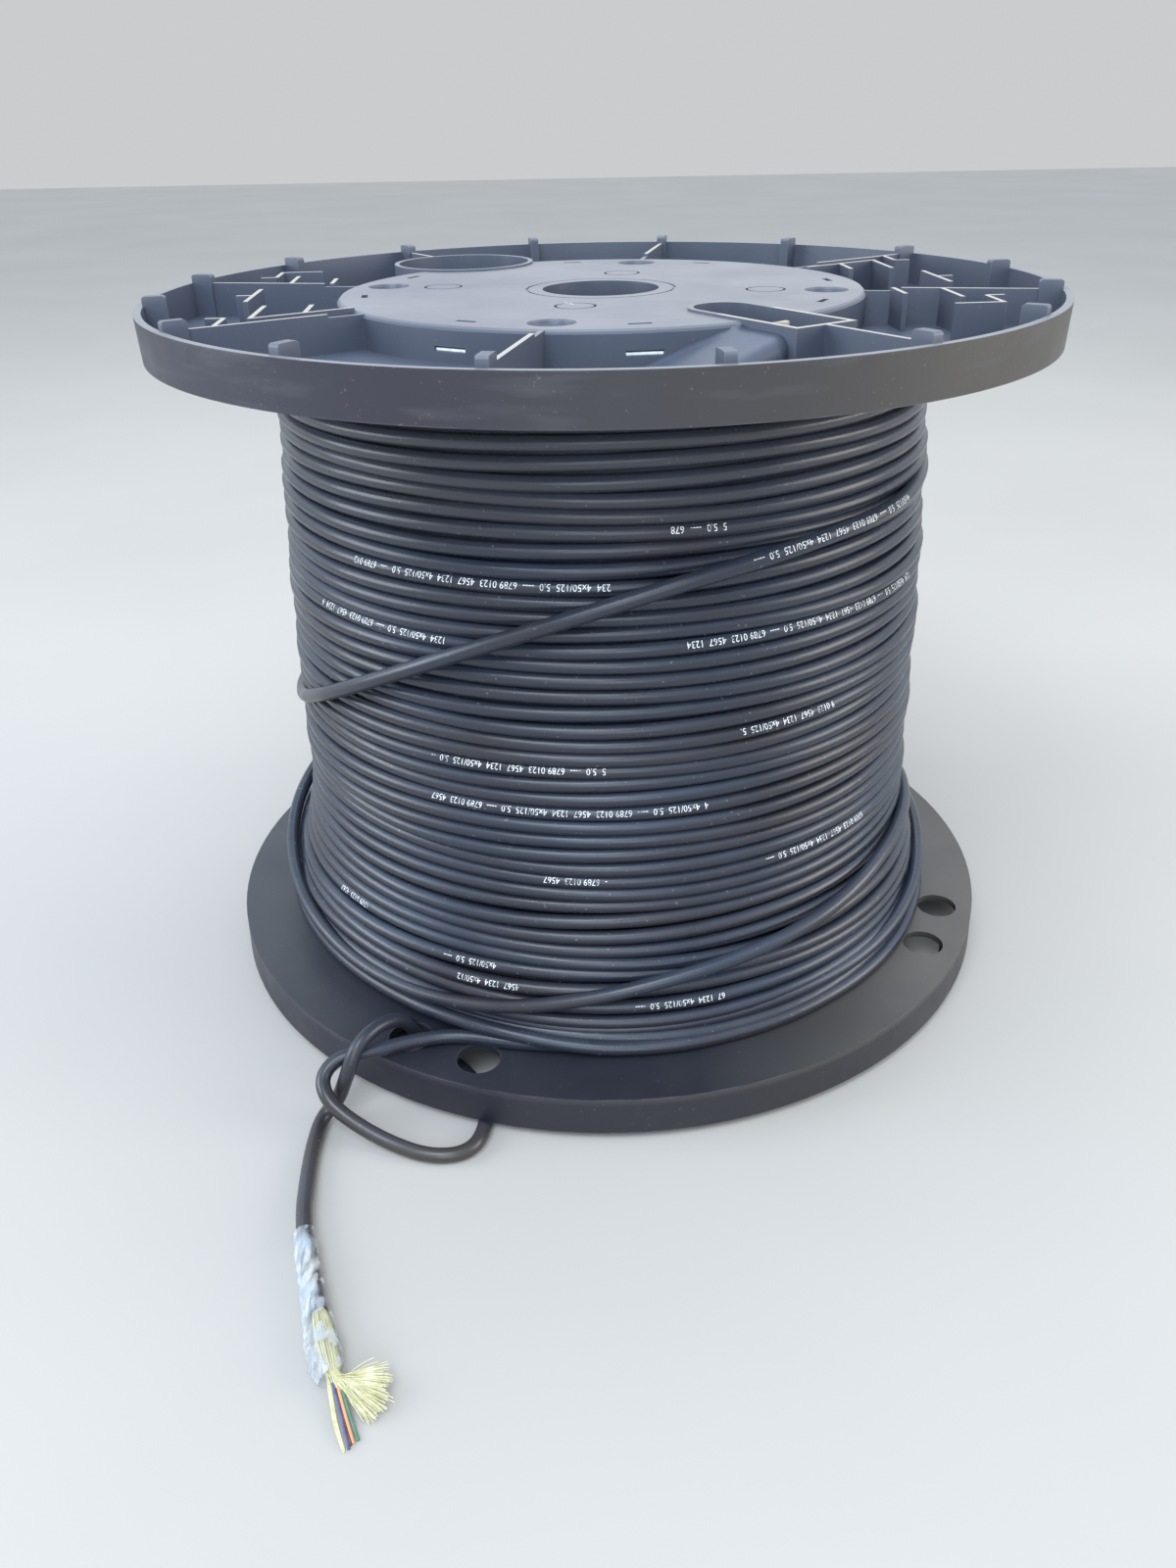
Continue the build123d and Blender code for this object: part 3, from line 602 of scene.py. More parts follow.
# Each bend of a loose turn: its angle in degrees, its height above the floor and its distance out
crossing_turn = [
    (24, 0.1915, 0.1095),
    (8, 0.1915, 0.1105),
    (-8, 0.1910, 0.1120),
    (-20, 0.1900, 0.1135),
    (-34, 0.1890, 0.1165),
    (-45, 0.1882, 0.1186),
    (-56, 0.1867, 0.1187),
    (-67, 0.1838, 0.1189),
    (-79, 0.1794, 0.1191),
    (-92, 0.1717, 0.1196),
    (-106, 0.1611, 0.1202),
    (-119, 0.1494, 0.1209),
    (-132, 0.1365, 0.1215),
    (-145, 0.1236, 0.1205),
    (-158, 0.1125, 0.1188),
    (-172, 0.1080, 0.1170),
    (-186, 0.1065, 0.1155),
]
high_foot_turn = [
    (12, 0.0620, 0.1140),
    (-2, 0.0620, 0.1180),
    (-16, 0.0620, 0.1215),
    (-30, 0.0615, 0.1230),
    (-44, 0.0575, 0.1252),
    (-57, 0.0536, 0.1273),
    (-70, 0.0500, 0.1286),
    (-84, 0.0447, 0.1292),
    (-96, 0.0379, 0.1295),
    (-108, 0.0318, 0.1297),
    (-122, 0.0282, 0.1300),
    (-137, 0.0285, 0.1304),
    (-152, 0.0315, 0.1309),
    (-166, 0.0380, 0.1314),
    (-180, 0.0460, 0.1305),
    (-194, 0.0540, 0.1260),
    (-208, 0.0600, 0.1200),
    (-222, 0.0640, 0.1150),
]
middle_foot_turn = [
    (50, 0.0420, 0.1160),
    (34, 0.0420, 0.1210),
    (18, 0.0420, 0.1250),
    (2, 0.0410, 0.1280),
    (-12, 0.0370, 0.1285),
    (-25, 0.0300, 0.1300),
    (-42, 0.0265, 0.1294),
    (-60, 0.0255, 0.1276),
    (-78, 0.0243, 0.1272),
    (-96, 0.0245, 0.1274),
    (-112, 0.0260, 0.1266),
    (-128, 0.0270, 0.1256),
    (-144, 0.0290, 0.1254),
    (-160, 0.0330, 0.1265),
    (-176, 0.0400, 0.1275),
    (-192, 0.0460, 0.1255),
    (-208, 0.0500, 0.1210),
    (-224, 0.0520, 0.1170),
]
lowest_turn = [
    (70, 0.0240, 0.1220),
    (52, 0.0230, 0.1260),
    (34, 0.0215, 0.1295),
    (16, 0.0200, 0.1310),
    (-2, 0.0194, 0.1309),
    (-20, 0.0193, 0.1307),
    (-40, 0.0193, 0.1314),
    (-60, 0.0193, 0.1310),
    (-76, 0.0193, 0.1310),
    (-88, 0.0196, 0.1311),
    (-97, 0.0212, 0.1309),
    (-105, 0.0234, 0.1312),
    (-113, 0.0236, 0.1306),
    (-124, 0.0222, 0.1286),
    (-137, 0.0206, 0.1276),
    (-150, 0.0196, 0.1282),
    (-164, 0.0194, 0.1302),
    (-178, 0.0196, 0.1308),
    (-194, 0.0210, 0.1285),
    (-210, 0.0230, 0.1255),
]


def on_winding(angle, height, radius):
    """A point round the drum: its angle in degrees, height above the floor and distance out."""
    return (radius * math.cos(math.radians(angle)), radius * math.sin(math.radians(angle)), height)


def smooth_curve(name, lines, thickness=0.0, sides=2, steps=10):
    """Smooth open lines through the bends of their routes, as one curve object."""
    data = bpy.data.curves.new(name, "CURVE")
    data.dimensions = "3D"
    for points in lines:
        line = data.splines.new("NURBS")
        line.points.add(len(points) - 1)
        for point, place in zip(line.points, points):
            point.co = (*place, 1.0)
        line.order_u = 3
        line.use_endpoint_u = True
        line.resolution_u = steps
    data.bevel_depth = thickness / 2
    data.bevel_resolution = sides
    data.use_fill_caps = thickness > 0
    return bpy.data.objects.new(name, data)


def curve_mesh(curve):
    """The curve's own mesh: a tube where it has a thickness, and else the points along its line."""
    return bpy.data.meshes.new_from_object(curve)


loose_turns = [crossing_turn, high_foot_turn, middle_foot_turn, lowest_turn]
loose_lines = [[on_winding(*bend) for bend in turn] for turn in loose_turns]
loose_mesh = curve_mesh(smooth_curve("loose turns", loose_lines, CABLE_DIAMETER, sides=4, steps=8))
piece("cable_loose_turns", loose_mesh, jacket_material, "cable_jacket")


# Marks are printed along the jacket in pale ink, small and partly worn off. Here they are plain
# numbers. The cable twists as it is wound, so they come round to the outside on some turns only.
MARK_TEXT = "1234  4x50/125  5.0  ----  6789 0123  4567  "
MARK_REPEATS = 8
MARK_SIZE = 0.0031
MARK_NARROW = 0.86
MARK_PROUD = 0.00004
MARK_CAPITAL = 0.0023
MARK_LETTER = 0.00165
# The letters' middle, as a share of their size above their line, and how far up the jacket it lies
MARK_MIDDLE = 0.35
MARK_RAISED_ANGLE = 26
# Each letter is cut across so many times, so that it bends round the jacket
MARK_BENDS = 6
MARK_CURVE_STEPS = 2
INK_WORN = (0.24, 0.26, 0.30, 1)
INK_PALE = (0.80, 0.83, 0.86, 1)
# Each mark on the front: the angle it starts at, its height and how far round it runs
FRONT_MARKS = [
    (-155, 0.1745, 66),
    (-158, 0.1545, 44),
    (-105, 0.1580, 78),
    (-87, 0.1910, 15),
    (-135, 0.1175, 45),
    (-144, 0.1030, 70),
    (-78, 0.1265, 27),
    (-107, 0.0765, 17),
    (-77, 0.0765, 37),
    (-148, 0.0470, 14),
    (-124, 0.0445, 17),
    (-119, 0.0362, 16),
    (-94, 0.0335, 22),
]
# One more mark runs along the loose turn that crosses the front, between these angles. It begins so
# far along them, and at this letter of the text.
CROSSING_MARK = (-89, -34)
CROSSING_REACH = 0.98
CROSSING_LETTER = 4
# The marks at the back are placed by chance, within these angles, heights and lengths in degrees
BACK_MARK_COUNT = 16
BACK_ANGLES = (-5, 150)
BACK_HEIGHTS = (0.03, 0.215)
BACK_DEGREES = (15, 70)

mark_material, nodes, links, shader = new_material("printed marks")
paint = mottle(nodes, links, INK_WORN, INK_PALE, 500, 3, 0.34, 0.50)
links.new(paint, shader.inputs["Base Color"])
shader.inputs["Roughness"].default_value = 0.5
add_bump(nodes, links, shader, noise_of(nodes, links, 1500, 2), 0.00001)


def lengths_along(line):
    """How far along a line of points each of them lies."""
    lengths = [0.0]
    for first, second in zip(line, line[1:]):
        lengths.append(lengths[-1] + (second - first).length)
    return lengths


def letters_of(count, phase):
    """So many flat letters of the marks' text as a mesh, cut across so that it can bend."""
    letters = bpy.data.curves.new("mark", "FONT")
    letters.body = (MARK_TEXT * MARK_REPEATS)[phase:][:count]
    letters.size = MARK_SIZE
    letters.resolution_u = MARK_CURVE_STEPS
    mesh = bpy.data.meshes.new_from_object(bpy.data.objects.new("mark", letters))
    cut = bmesh.new()
    cut.from_mesh(mesh)
    for level in range(1, MARK_BENDS):
        place = (0, MARK_CAPITAL * level / MARK_BENDS, 0)
        everything = cut.verts[:] + cut.edges[:] + cut.faces[:]
        bmesh.ops.bisect_plane(cut, geom=everything, plane_co=place, plane_no=(0, 1, 0))
    return mesh_of("mark", cut)


def mark_on(line, reach, phase):
    """Numbers bent onto a cable along its middle line, for this reach from the line's start."""
    mesh = letters_of(int(reach / MARK_LETTER), phase)
    lengths = lengths_along(line)
    for vertex in mesh.vertices:
        along = min(max(reach - vertex.co.x * MARK_NARROW, 0.0), lengths[-1] * 0.999)
        index = max(step for step, length in enumerate(lengths[:-1]) if length <= along)
        share = (along - lengths[index]) / (lengths[index + 1] - lengths[index])
        middle = line[index].lerp(line[index + 1], share)
        ahead = (line[index + 1] - line[index]).normalized()
        outward = Vector((middle.x, middle.y, 0)).normalized()
        upward = outward.cross(ahead).normalized()
        if upward.z < 0:
            upward = -upward
        radius = CABLE_DIAMETER / 2 + MARK_PROUD
        turn = math.radians(MARK_RAISED_ANGLE) - (vertex.co.y - MARK_SIZE * MARK_MIDDLE) / radius
        vertex.co = middle + (outward * math.cos(turn) + upward * math.sin(turn)) * radius
    return mesh


def turn_line(angle, height, degrees):
    """The middle line of the wound turn nearest this angle and height, over some degrees."""
    around = (angle % 360) / 360
    turn = round((height - WINDING_BOTTOM) / TURN_PITCH - 0.5 - around) + around
    made = []
    for step in range(int(degrees) + 1):
        place = turn + step / 360
        out, lift = turn_place(place, WINDING_BOTTOM + TURN_PITCH * 0.5, 0.0, WANDER)
        made.append(Vector(on_winding((place % 1) * 360, lift, out)))
    return made


crossing_line = []
for vertex in curve_mesh(smooth_curve("crossing", loose_lines[:1])).vertices:
    if CROSSING_MARK[0] < math.degrees(math.atan2(vertex.co.y, vertex.co.x)) < CROSSING_MARK[1]:
        crossing_line.insert(0, vertex.co.copy())
crossing_reach = lengths_along(crossing_line)[-1] * CROSSING_REACH
mark_meshes = [mark_on(crossing_line, crossing_reach, CROSSING_LETTER)]
draw = random.Random(11)
back_marks = [
    (draw.uniform(*BACK_ANGLES), draw.uniform(*BACK_HEIGHTS), draw.uniform(*BACK_DEGREES))
    for mark in range(BACK_MARK_COUNT)
]
for angle, height, degrees in FRONT_MARKS + back_marks:
    line = turn_line(angle, height, degrees)
    mark_meshes.append(mark_on(line, lengths_along(line)[-1], draw.randrange(len(MARK_TEXT))))
marks = bmesh.new()
for mesh in mark_meshes:
    marks.from_mesh(mesh)
piece("cable_marks", mesh_of("cable_marks", marks), mark_material, "cable_jacket")


# The free end of the cable leaves the bottom turn, crosses the rim, runs under it, comes up through
# a start hole and hooks over itself to the floor. Its jacket is pinched where the rim stands on it.
ON_WEB = 0.0193
ON_FLOOR = 0.0026
ON_TAPE = 0.0040
TAIL_POINTS = [
    (-0.0140, -0.1306, ON_WEB),
    (-0.0330, -0.1274, ON_WEB),
    (-0.0520, -0.1220, ON_WEB),
    (-0.0680, -0.1260, ON_WEB + 0.0006),
    (-0.0805, -0.1320, ON_WEB + 0.0010),
    (-0.0905, -0.1335, ON_WEB + 0.0010),
    (-0.0965, -0.1385, ON_WEB - 0.0030),
    (-0.0940, -0.1460, ON_WEB - 0.0065),
    (-0.0850, -0.1515, 0.0080),
    (-0.0720, -0.1565, 0.0032),
    (-0.0580, -0.1620, ON_FLOOR),
    (-0.0452, -0.1602, ON_FLOOR),
    (-0.0410, -0.1485, ON_FLOOR),
    (-0.0425, -0.1350, ON_FLOOR),
    (-0.0495, -0.1235, ON_FLOOR + 0.0004),
    (-0.0595, -0.1175, 0.0065),
    (-0.0670, -0.1170, 0.0155),
    (-0.0710, -0.1195, 0.0245),
    (-0.0775, -0.1270, 0.0285),
    (-0.0840, -0.1360, 0.0270),
    (-0.0875, -0.1400, 0.0175),
    (-0.0915, -0.1405, 0.0070),
    (-0.0968, -0.1440, ON_FLOOR),
    (-0.0973, -0.1560, ON_FLOOR),
    (-0.0963, -0.1700, ON_FLOOR),
    (-0.0940, -0.1870, ON_TAPE),
    (-0.0887, -0.2042, ON_TAPE),
    (-0.0822, -0.2206, ON_TAPE),
]
# Under the rim's wall the jacket is pressed down to this gap. Away from the wall it rises again this
# steeply, and what lies above the pinch's height is left round.
RIM_GAP = 0.0027
RIM_MIDDLE_RADIUS = 0.1512
RIM_HALF_WALL = 0.0015
PINCH_SLOPE = 1.1
PINCH_HEIGHT = 0.006
# The tail starts tucked in under the lowest turn, between these angles and above the web
WEB_TOP = 0.0165
TUCK_START = 94
TUCK_END = 115
TUCK_DEPTH = 0.0034


def tucked_in(place):
    """The tail's first few centimetres moved in under the lowest turn."""
    angle = math.degrees(math.atan2(place.y, place.x))
    if place.z < WEB_TOP or not -TUCK_END < angle < -TUCK_START:
        return place
    share = (angle + TUCK_END) / (TUCK_END - TUCK_START)
    tuck = 1 - TUCK_DEPTH * share**2 / math.hypot(place.x, place.y)
    return Vector((place.x * tuck, place.y * tuck, place.z))


tail_points = curve_mesh(smooth_curve("tail line", [TAIL_POINTS])).vertices
tail_line = [tucked_in(vertex.co) for vertex in tail_points]
tail_mesh = curve_mesh(smooth_curve("tail tube", [TAIL_POINTS], CABLE_DIAMETER, sides=4))
for vertex in tail_mesh.vertices:
    vertex.co = tucked_in(vertex.co)
    past_wall = abs(math.hypot(vertex.co.x, vertex.co.y) - RIM_MIDDLE_RADIUS) - RIM_HALF_WALL
    ceiling = RIM_GAP + max(0.0, past_wall) * PINCH_SLOPE
    if ceiling < vertex.co.z < PINCH_HEIGHT:
        vertex.co.z = ceiling
tail = piece("cable_free_end", tail_mesh, jacket_material, "cable_jacket", "cable_tail")


# Clear tape is wound loosely round the jacket's end and the yarn that comes out of it. It stands out in a
# flap on one side, and it is white where it is creased, partly as painted highlights on its crinkles.
TAPE_OVER_JACKET = 0.030
TAPE_OVER_YARN = 0.0215
TAPE_LENGTH_STEPS = 60
TAPE_SIDES = 28
TAPE_OVER_JACKET_RADIUS = 0.0032
TAPE_OVER_YARN_RADIUS = 0.0038
TAPE_FILM = 0.00008
TAPE_LOWEST = 0.0003
# The crinkles' height, and how many there are along the tape and for each radian round it
TAPE_CRINKLE = 0.00034
CRINKLES_ALONG = 26
CRINKLES_ROUND = 1.6
# The share of the tape's length where the yarn begins, and the share over which the tape widens
YARN_BEGINS = 0.58
YARN_GROWS = 0.12
# How far the loose flap stands out to the left, by the share of the tape's length, and how it sags
TAPE_FLAP = [
    (0.0, 0.0003),
    (0.15, 0.0006),
    (0.35, 0.0008),
    (0.6, 0.0018),
    (0.8, 0.0023),
    (0.92, 0.0022),
    (1.0, 0.0008),
]
FLAP_FLATNESS = 0.55
FLAP_SAG = 0.0012
# How far to the right the white of the tape reaches, from -1 on the left to 1, and how cloudy it is
TAPE_WHITE = [
    (0.0, -0.2),
    (0.06, 0.3),
    (0.2, 0.55),
    (0.28, 0.5),
    (0.36, 0.0),
    (0.52, -0.1),
    (0.6, -0.7),
    (0.85, -0.6),
    (1.0, -0.7),
]
TAPE_CLOUDY = [(0.0, 0.7), (0.1, 1.0), (0.5, 1.0), (0.62, 0.75), (0.8, 0.55), (1.0, 0.5)]
# How steeply the white ends, how ragged its edge is, and how often it changes along and round the tape
WHITE_STEEPNESS = 1.6
RAGGED_EDGE = 0.5
RAGGED_ALONG = 12
RAGGED_ROUND = 1.2
TAPE_BLUE = (0.50, 0.60, 0.72, 1)
TAPE_PALE = (0.76, 0.79, 0.81, 1)

tape_material, nodes, links, shader = new_material("clear tape")
paint = mottle(nodes, links, TAPE_BLUE, TAPE_PALE, 170, 3, 0.35, 0.65)
links.new(paint, shader.inputs["Base Color"])
white = nodes.new("ShaderNodeAttribute")
white.attribute_name = "whiteness"
creases = ramp_of(nodes, links, noise_of(nodes, links, 300, 3, (1.4, 0.6, 1)), 0.42, 0.60)
clear = ramp_of(nodes, links, creases, 0.55, 1.0, 0.03, 0.35)
streaks = ramp_of(nodes, links, noise_of(nodes, links, 380, 3, (1.5, 0.4, 1)), 0.35, 0.65)
cloudy = ramp_of(nodes, links, streaks, 0.0, 1.0, 0.25, 0.80)
alpha = nodes.new("ShaderNodeMix")
links.new(white.outputs["Fac"], alpha.inputs["Factor"])
links.new(clear, alpha.inputs["A"])
links.new(cloudy, alpha.inputs["B"])
links.new(alpha.outputs["Result"], shader.inputs["Alpha"])
shader.inputs["Roughness"].default_value = 0.16
add_bump(nodes, links, shader, creases, 0.0003)

end_direction = (Vector(TAIL_POINTS[-1]) - Vector(TAIL_POINTS[-2])).normalized()
end_side = Vector((0, 0, 1)).cross(end_direction)


def past_end(along, side, height):
    """A point beyond the jacket's end: so far along the cable, to its side and above the floor."""
    place = Vector(TAIL_POINTS[-1]) + end_direction * along + end_side * side
    return (place.x, place.y, height)


def even_points(line, count):
    """Points at even spaces along a line of points."""
    lengths = lengths_along(line)
    made = []
    index = 0
    for step in range(count):
        wanted = lengths[-1] * step / (count - 1)
        while index < len(line) - 2 and lengths[index + 1] < wanted:
            index += 1
        share = (wanted - lengths[index]) / (lengths[index + 1] - lengths[index])
        made.append(line[index].lerp(line[index + 1], share))
    return made


from_end = 0.0
tape_route = []
for place, before in zip(tail_line[::-1], tail_line[-1:] + tail_line[::-1]):
    from_end += (place - before).length
    if from_end <= TAPE_OVER_JACKET:
        tape_route.insert(0, place)
tape_route.append(Vector(past_end(TAPE_OVER_YARN, 0, ON_TAPE)))
tape_route = even_points(tape_route, TAPE_LENGTH_STEPS)
last_step = TAPE_LENGTH_STEPS - 1
tape_shape = bmesh.new()
whiteness = tape_shape.verts.layers.float.new("whiteness")
bmesh.ops.create_grid(tape_shape, x_segments=TAPE_SIDES, y_segments=last_step, size=1)
for vertex in tape_shape.verts:
    corner = round((vertex.co.x + 1) * TAPE_SIDES / 2) % TAPE_SIDES
    step = round((vertex.co.y + 1) * last_step / 2)
    share = step / last_step
    turn = 2 * math.pi * corner / TAPE_SIDES
    ahead = tape_route[min(step + 1, last_step)] - tape_route[max(step - 1, 0)]
    side = Vector((0, 0, 1)).cross(ahead).normalized()
    over_yarn = min(1.0, max(0.0, (share - YARN_BEGINS) / YARN_GROWS))
    radius = TAPE_OVER_JACKET_RADIUS + (TAPE_OVER_YARN_RADIUS - TAPE_OVER_JACKET_RADIUS) * over_yarn
    left = max(0.0, -math.cos(turn))
    flap = along_table(TAPE_FLAP, share) * left**3
    folds = noise.noise(Vector((share * CRINKLES_ALONG, turn * CRINKLES_ROUND, 4.0)))
    out = radius + flap + folds * TAPE_CRINKLE * (0.5 + left)
    height = math.sin(turn) * out * (1 - FLAP_FLATNESS * left**3) - FLAP_SAG * left**3 * share
    vertex.co = tape_route[step] + side * math.cos(turn) * out + Vector((0, 0, height))
    vertex.co.z = max(vertex.co.z, TAPE_LOWEST)
    ragged = noise.noise(Vector((share * RAGGED_ALONG, turn * RAGGED_ROUND, 9.0)))
    reach = along_table(TAPE_WHITE, share) + RAGGED_EDGE * ragged
    white_share = min(1.0, max(0.0, 0.5 + (reach - math.cos(turn)) * WHITE_STEEPNESS))
    vertex[whiteness] = white_share * along_table(TAPE_CLOUDY, share)
bmesh.ops.remove_doubles(tape_shape, verts=tape_shape.verts, dist=0.000001)
bmesh.ops.recalc_face_normals(tape_shape, faces=tape_shape.faces)
tape_mesh = mesh_of("clear_tape", tape_shape)
tape = piece("clear_tape", tape_mesh, tape_material, "clear_tape", "tape_wrap")
add_wall(tape, TAPE_FILM, 0)


# Aramid yarn comes out of the jacket with the fibres. It is pale yellow, combed to one side and cut
# short, and each strand is as fine as a hair.
YARN_DIAMETER = 0.00026
YARN_COUNT = 260
YARN_BUNDLE_RADIUS = 0.0029
# The bundle narrows where the tape ends, and each strand's tip strays by chance
YARN_NARROWING = 0.55
YARN_STRAYS = 0.0006
SIDE_STRAYS = 0.0005
YARN_REACHES = (0.80, 1.0)
STUMP_LENGTHS = (0.0005, 0.0020)
# Tips of the bunches that the yarn is combed into: along the cable, to its side and above the floor
YARN_TIPS = [
    (0.0002, 0.0135, 0.0062),
    (0.0022, 0.0148, 0.0056),
    (0.0042, 0.0152, 0.0050),
    (0.0060, 0.0138, 0.0046),
    (0.0078, 0.0140, 0.0040),
    (0.0092, 0.0118, 0.0038),
    (0.0112, 0.0128, 0.0030),
    (0.0135, 0.0110, 0.0024),
    (0.0146, 0.0086, 0.0018),
    (0.0140, 0.0064, 0.0014),
]
# How many strands go to each tip, and how far on in that order is the tip that they lean towards
YARN_SHARES = [2, 8, 18, 24, 26, 20, 28, 30, 28, 18]
YARN_NEIGHBOUR = 20
SIDE_STRANDS = 22
YARN_OCHRE = (0.55, 0.53, 0.28, 1)
YARN_PALE = (0.79, 0.78, 0.55, 1)

yarn_material, nodes, links, shader = new_material("aramid yarn")
paint = mottle(nodes, links, YARN_OCHRE, YARN_PALE, 380, 3, 0.3, 0.7)
links.new(paint, shader.inputs["Base Color"])
shader.inputs["Roughness"].default_value = 0.45
shader.inputs["Sheen Weight"].default_value = 0.3
add_bump(nodes, links, shader, noise_of(nodes, links, 2600, 2), 0.00002)

draw = random.Random(7)
yarn_lines = []
bunches = [tip for tip, share in zip(YARN_TIPS, YARN_SHARES) for strand in range(share)]
for strand in range(YARN_COUNT):
    turn = draw.uniform(0, 2 * math.pi)
    out = YARN_BUNDLE_RADIUS * math.sqrt(draw.uniform(0, 1))
    start_side = out * math.cos(turn)
    start_rise = out * math.sin(turn)
    root_side = start_side * YARN_NARROWING
    root_height = ON_TAPE + start_rise * YARN_NARROWING
    line = [
        past_end(0.0003, start_side * 0.7, ON_TAPE + start_rise * 0.7),
        past_end(TAPE_OVER_YARN * 0.3, start_side, ON_TAPE + start_rise),
        past_end(TAPE_OVER_YARN * 0.8, start_side * 0.85, ON_TAPE + start_rise),
    ]
    # Most strands are combed to the side, a few lie along the fibres, and the rest are cut short
    if strand < len(bunches):
        beside = bunches[min(strand + YARN_NEIGHBOUR, len(bunches) - 1)]
        tip = Vector(bunches[strand]).lerp(beside, draw.uniform(0, 1) ** 2)
        reach = draw.uniform(*YARN_REACHES)
        spread = [draw.uniform(-YARN_STRAYS, YARN_STRAYS) for axis in range(3)]
        line += [
            past_end(TAPE_OVER_YARN, root_side, root_height),
            past_end(TAPE_OVER_YARN + 0.0012 + tip[0] * 0.15, root_side + tip[1] * 0.2, root_height),
            past_end(
                TAPE_OVER_YARN + tip[0] * 0.6 * reach + spread[0],
                tip[1] * 0.66 * reach + spread[1],
                tip[2] * 0.8 + 0.0009 + spread[2] * 0.6,
            ),
            past_end(
                TAPE_OVER_YARN + tip[0] * reach + spread[0] * 1.6,
                tip[1] * reach + spread[1] * 1.6,
                max(0.0004, tip[2] + spread[2]),
            ),
        ]
    elif strand < len(bunches) + SIDE_STRANDS:
        aside = draw.uniform(-SIDE_STRAYS, SIDE_STRAYS)
        line += [
            past_end(TAPE_OVER_YARN, -0.0014 + aside, ON_TAPE),
            past_end(TAPE_OVER_YARN + 0.0060, -0.0018 + aside, 0.0026),
            past_end(TAPE_OVER_YARN + 0.0130, -0.0021 + aside, 0.0008 + abs(aside) * 0.6),
            past_end(
                TAPE_OVER_YARN + 0.0196 - abs(aside) * 2,
                -0.0015 + aside * 0.7,
                0.0005 + abs(aside) * 0.5,
            ),
        ]
    else:
        stump = draw.uniform(*STUMP_LENGTHS)
        line.append(past_end(TAPE_OVER_YARN + stump, root_side, root_height))
    yarn_lines.append(line)
yarn_mesh = curve_mesh(smooth_curve("yarn strands", yarn_lines, YARN_DIAMETER, sides=0, steps=4))
yarn = piece("aramid_tuft", yarn_mesh, yarn_material, "yarn", "aramid_yarn")


# Four glass fibres, each in a tight plastic buffer of its own colour, come out of the yarn and lie
# down on the floor. The brown one lies low between the blue and the orange one.
FIBRE_DIAMETER = 0.0009
# A fibre's colour is washed out in patches: how much of it stays, and the grey that is added
FADE_KEEPS = 0.6
FADE_GREY = 0.22
# Each fibre's colour, its side at the tape, how far along and to the side its end lies, and its drop
FIBRES = {
    "blue": ((0.075, 0.090, 0.20, 1), -0.0006, 0.0189, -0.0001, 0.0),
    "orange": ((0.72, 0.34, 0.17, 1), 0.0004, 0.0179, 0.0013, 0.0),
    "green": ((0.07, 0.21, 0.14, 1), 0.0012, 0.0175, 0.0026, -0.0001),
    "brown": ((0.12, 0.045, 0.03, 1), 0.0000, 0.0180, 0.0006, -0.0003),
}

for colour, (paint, side, end_along, end_across, drop) in FIBRES.items():
    material, nodes, links, shader = new_material(f"{colour} fibre")
    wash = ramp_of(nodes, links, noise_of(nodes, links, 300, 3), 0.4, 0.8, 0.0, 0.4)
    faded = tuple(FADE_KEEPS * part + FADE_GREY for part in paint[:3]) + (1,)
    links.new(blend(nodes, links, wash, paint, faded), shader.inputs["Base Color"])
    shader.inputs["Roughness"].default_value = 0.32
    add_bump(nodes, links, shader, noise_of(nodes, links, 2000, 2), 0.00001)
    route = [
        past_end(TAPE_OVER_YARN - 0.004, side * 0.6, ON_TAPE + 0.0006 + drop),
        past_end(TAPE_OVER_YARN + 0.002, side, ON_TAPE + 0.0004 + drop),
        past_end(TAPE_OVER_YARN + 0.009, side + (end_across - side) * 0.35, 0.0024 + drop),
        past_end(TAPE_OVER_YARN + 0.014, side + (end_across - side) * 0.7, 0.0010 + drop * 0.5),
        past_end(TAPE_OVER_YARN + end_along, end_across, FIBRE_DIAMETER / 2 + 0.0001),
    ]
    mesh = curve_mesh(smooth_curve(f"{colour} fibre", [route], FIBRE_DIAMETER))
    piece(f"fibre_end_{colour}", mesh, material, f"fibre_{colour}", f"fibre_{colour}")


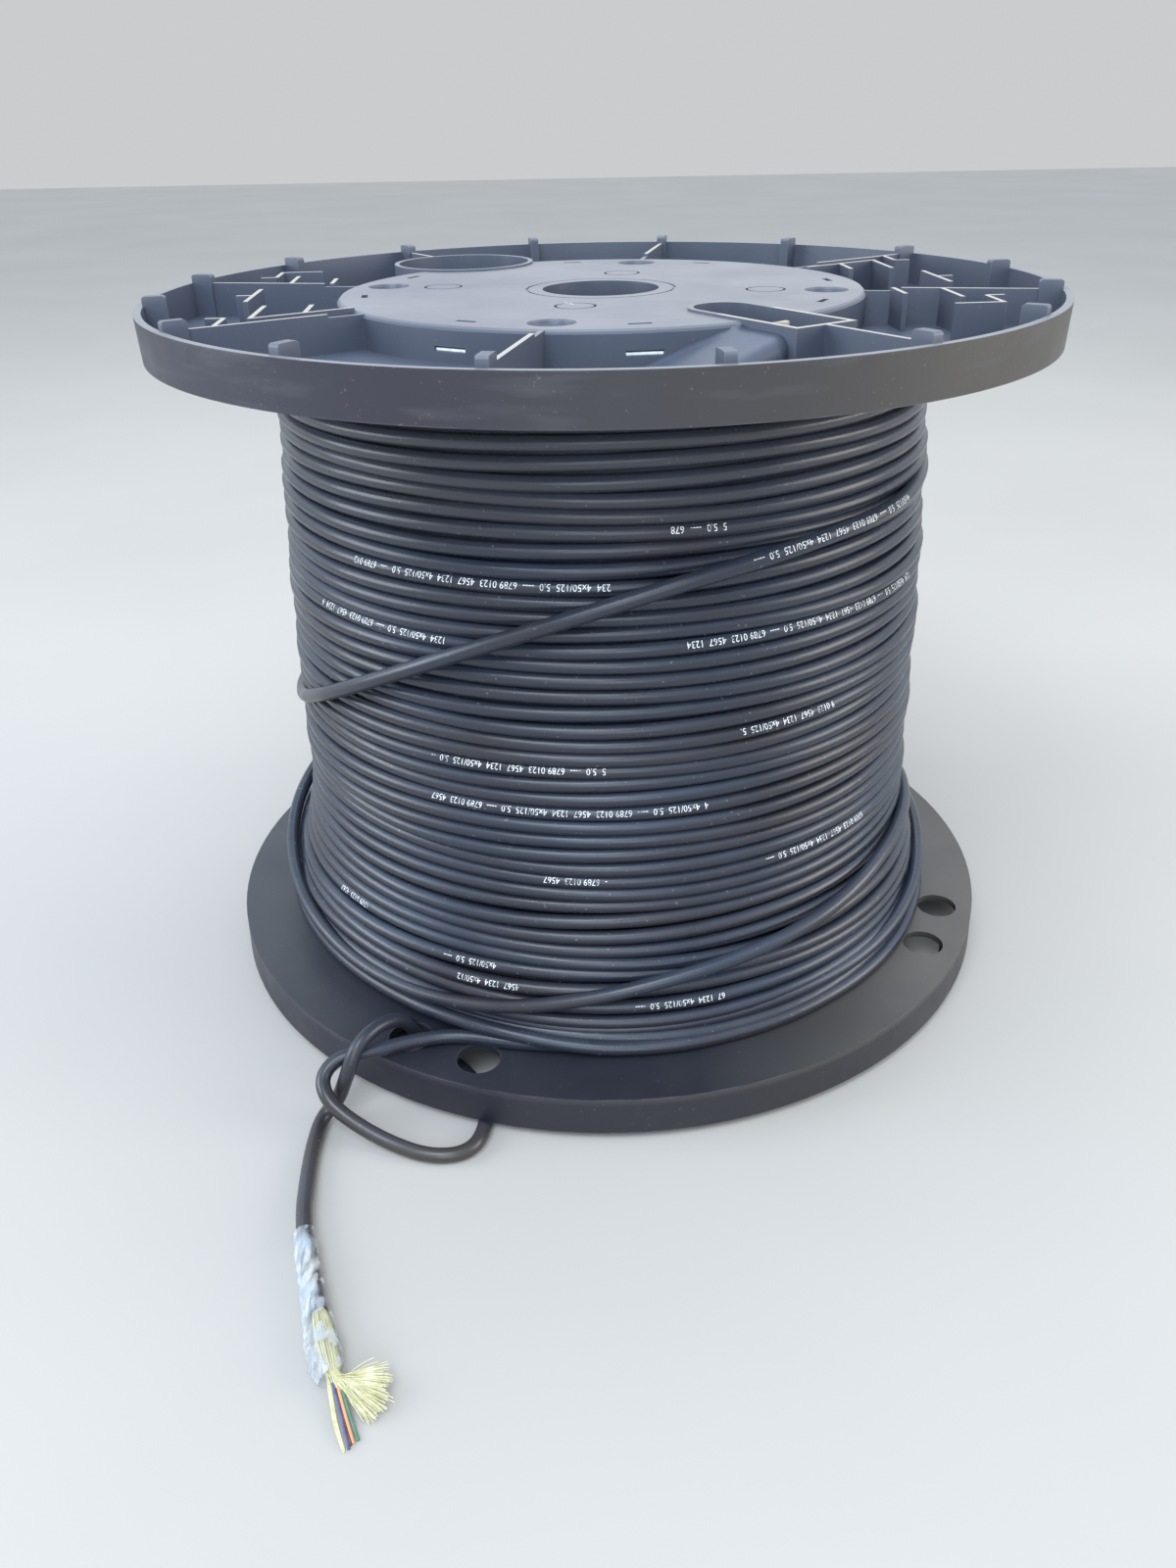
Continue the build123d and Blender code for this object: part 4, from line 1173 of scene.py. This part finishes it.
# The reel stands on a pale plain floor under a soft sky. Two cool lamps shine from the front, one
# from behind, a cool one from the left and a warm one from the right.
FLOOR_HALF = 6
FLOOR_SHADED = (0.455, 0.45, 0.44, 1)
FLOOR_PALE = (0.49, 0.485, 0.475, 1)
SKY_LIGHT = (0.86, 0.93, 1.0, 1)
SKY_SEEN = (0.60, 0.605, 0.615, 1)
REEL_MIDDLE = Vector((0, 0, 0.12))

floor_material, nodes, links, shader = new_material("floor")
paint = mottle(nodes, links, FLOOR_SHADED, FLOOR_PALE, 3, 3, 0.3, 0.7)
links.new(paint, shader.inputs["Base Color"])
shader.inputs["Roughness"].default_value = 0.8
floor_shape = bmesh.new()
bmesh.ops.create_grid(floor_shape, x_segments=1, y_segments=1, size=FLOOR_HALF)
floor = bpy.data.objects.new("floor", mesh_of("floor", floor_shape))
floor.data.materials.append(floor_material)
bpy.context.scene.collection.objects.link(floor)

world = bpy.data.worlds.new("sky")
bpy.context.scene.world = world
world.use_nodes = True
nodes = world.node_tree.nodes
links = world.node_tree.links
ray = nodes.new("ShaderNodeLightPath")
sky_paint = blend(nodes, links, ray.outputs["Is Camera Ray"], SKY_LIGHT, SKY_SEEN)
links.new(sky_paint, nodes["Background"].inputs["Color"])
nodes["Background"].inputs["Strength"].default_value = 1.0


def soft_lamp(name, place, size, power, colour=(1, 1, 1)):
    """A square area lamp that looks at the middle of the reel."""
    lamp = bpy.data.lights.new(name, "AREA")
    lamp.size = size
    lamp.energy = power
    lamp.color = colour
    made = bpy.data.objects.new(name, lamp)
    made.location = place
    made.rotation_euler = (REEL_MIDDLE - Vector(place)).to_track_quat("-Z", "Y").to_euler()
    bpy.context.scene.collection.objects.link(made)


soft_lamp("key lamp", (-0.3, -0.9, 1.35), 0.8, 13, (0.86, 0.93, 1.0))
soft_lamp("front lamp", (0.0, -1.9, 0.75), 1.0, 10, (0.74, 0.86, 1.0))
soft_lamp("back lamp", (0.1, 0.6, 1.4), 0.9, 5)
soft_lamp("left lamp", (-1.7, -0.15, 0.70), 1.0, 17, (0.88, 0.94, 1.0))
soft_lamp("right lamp", (1.7, -0.25, 0.65), 1.0, 15, (1.0, 0.93, 0.84))
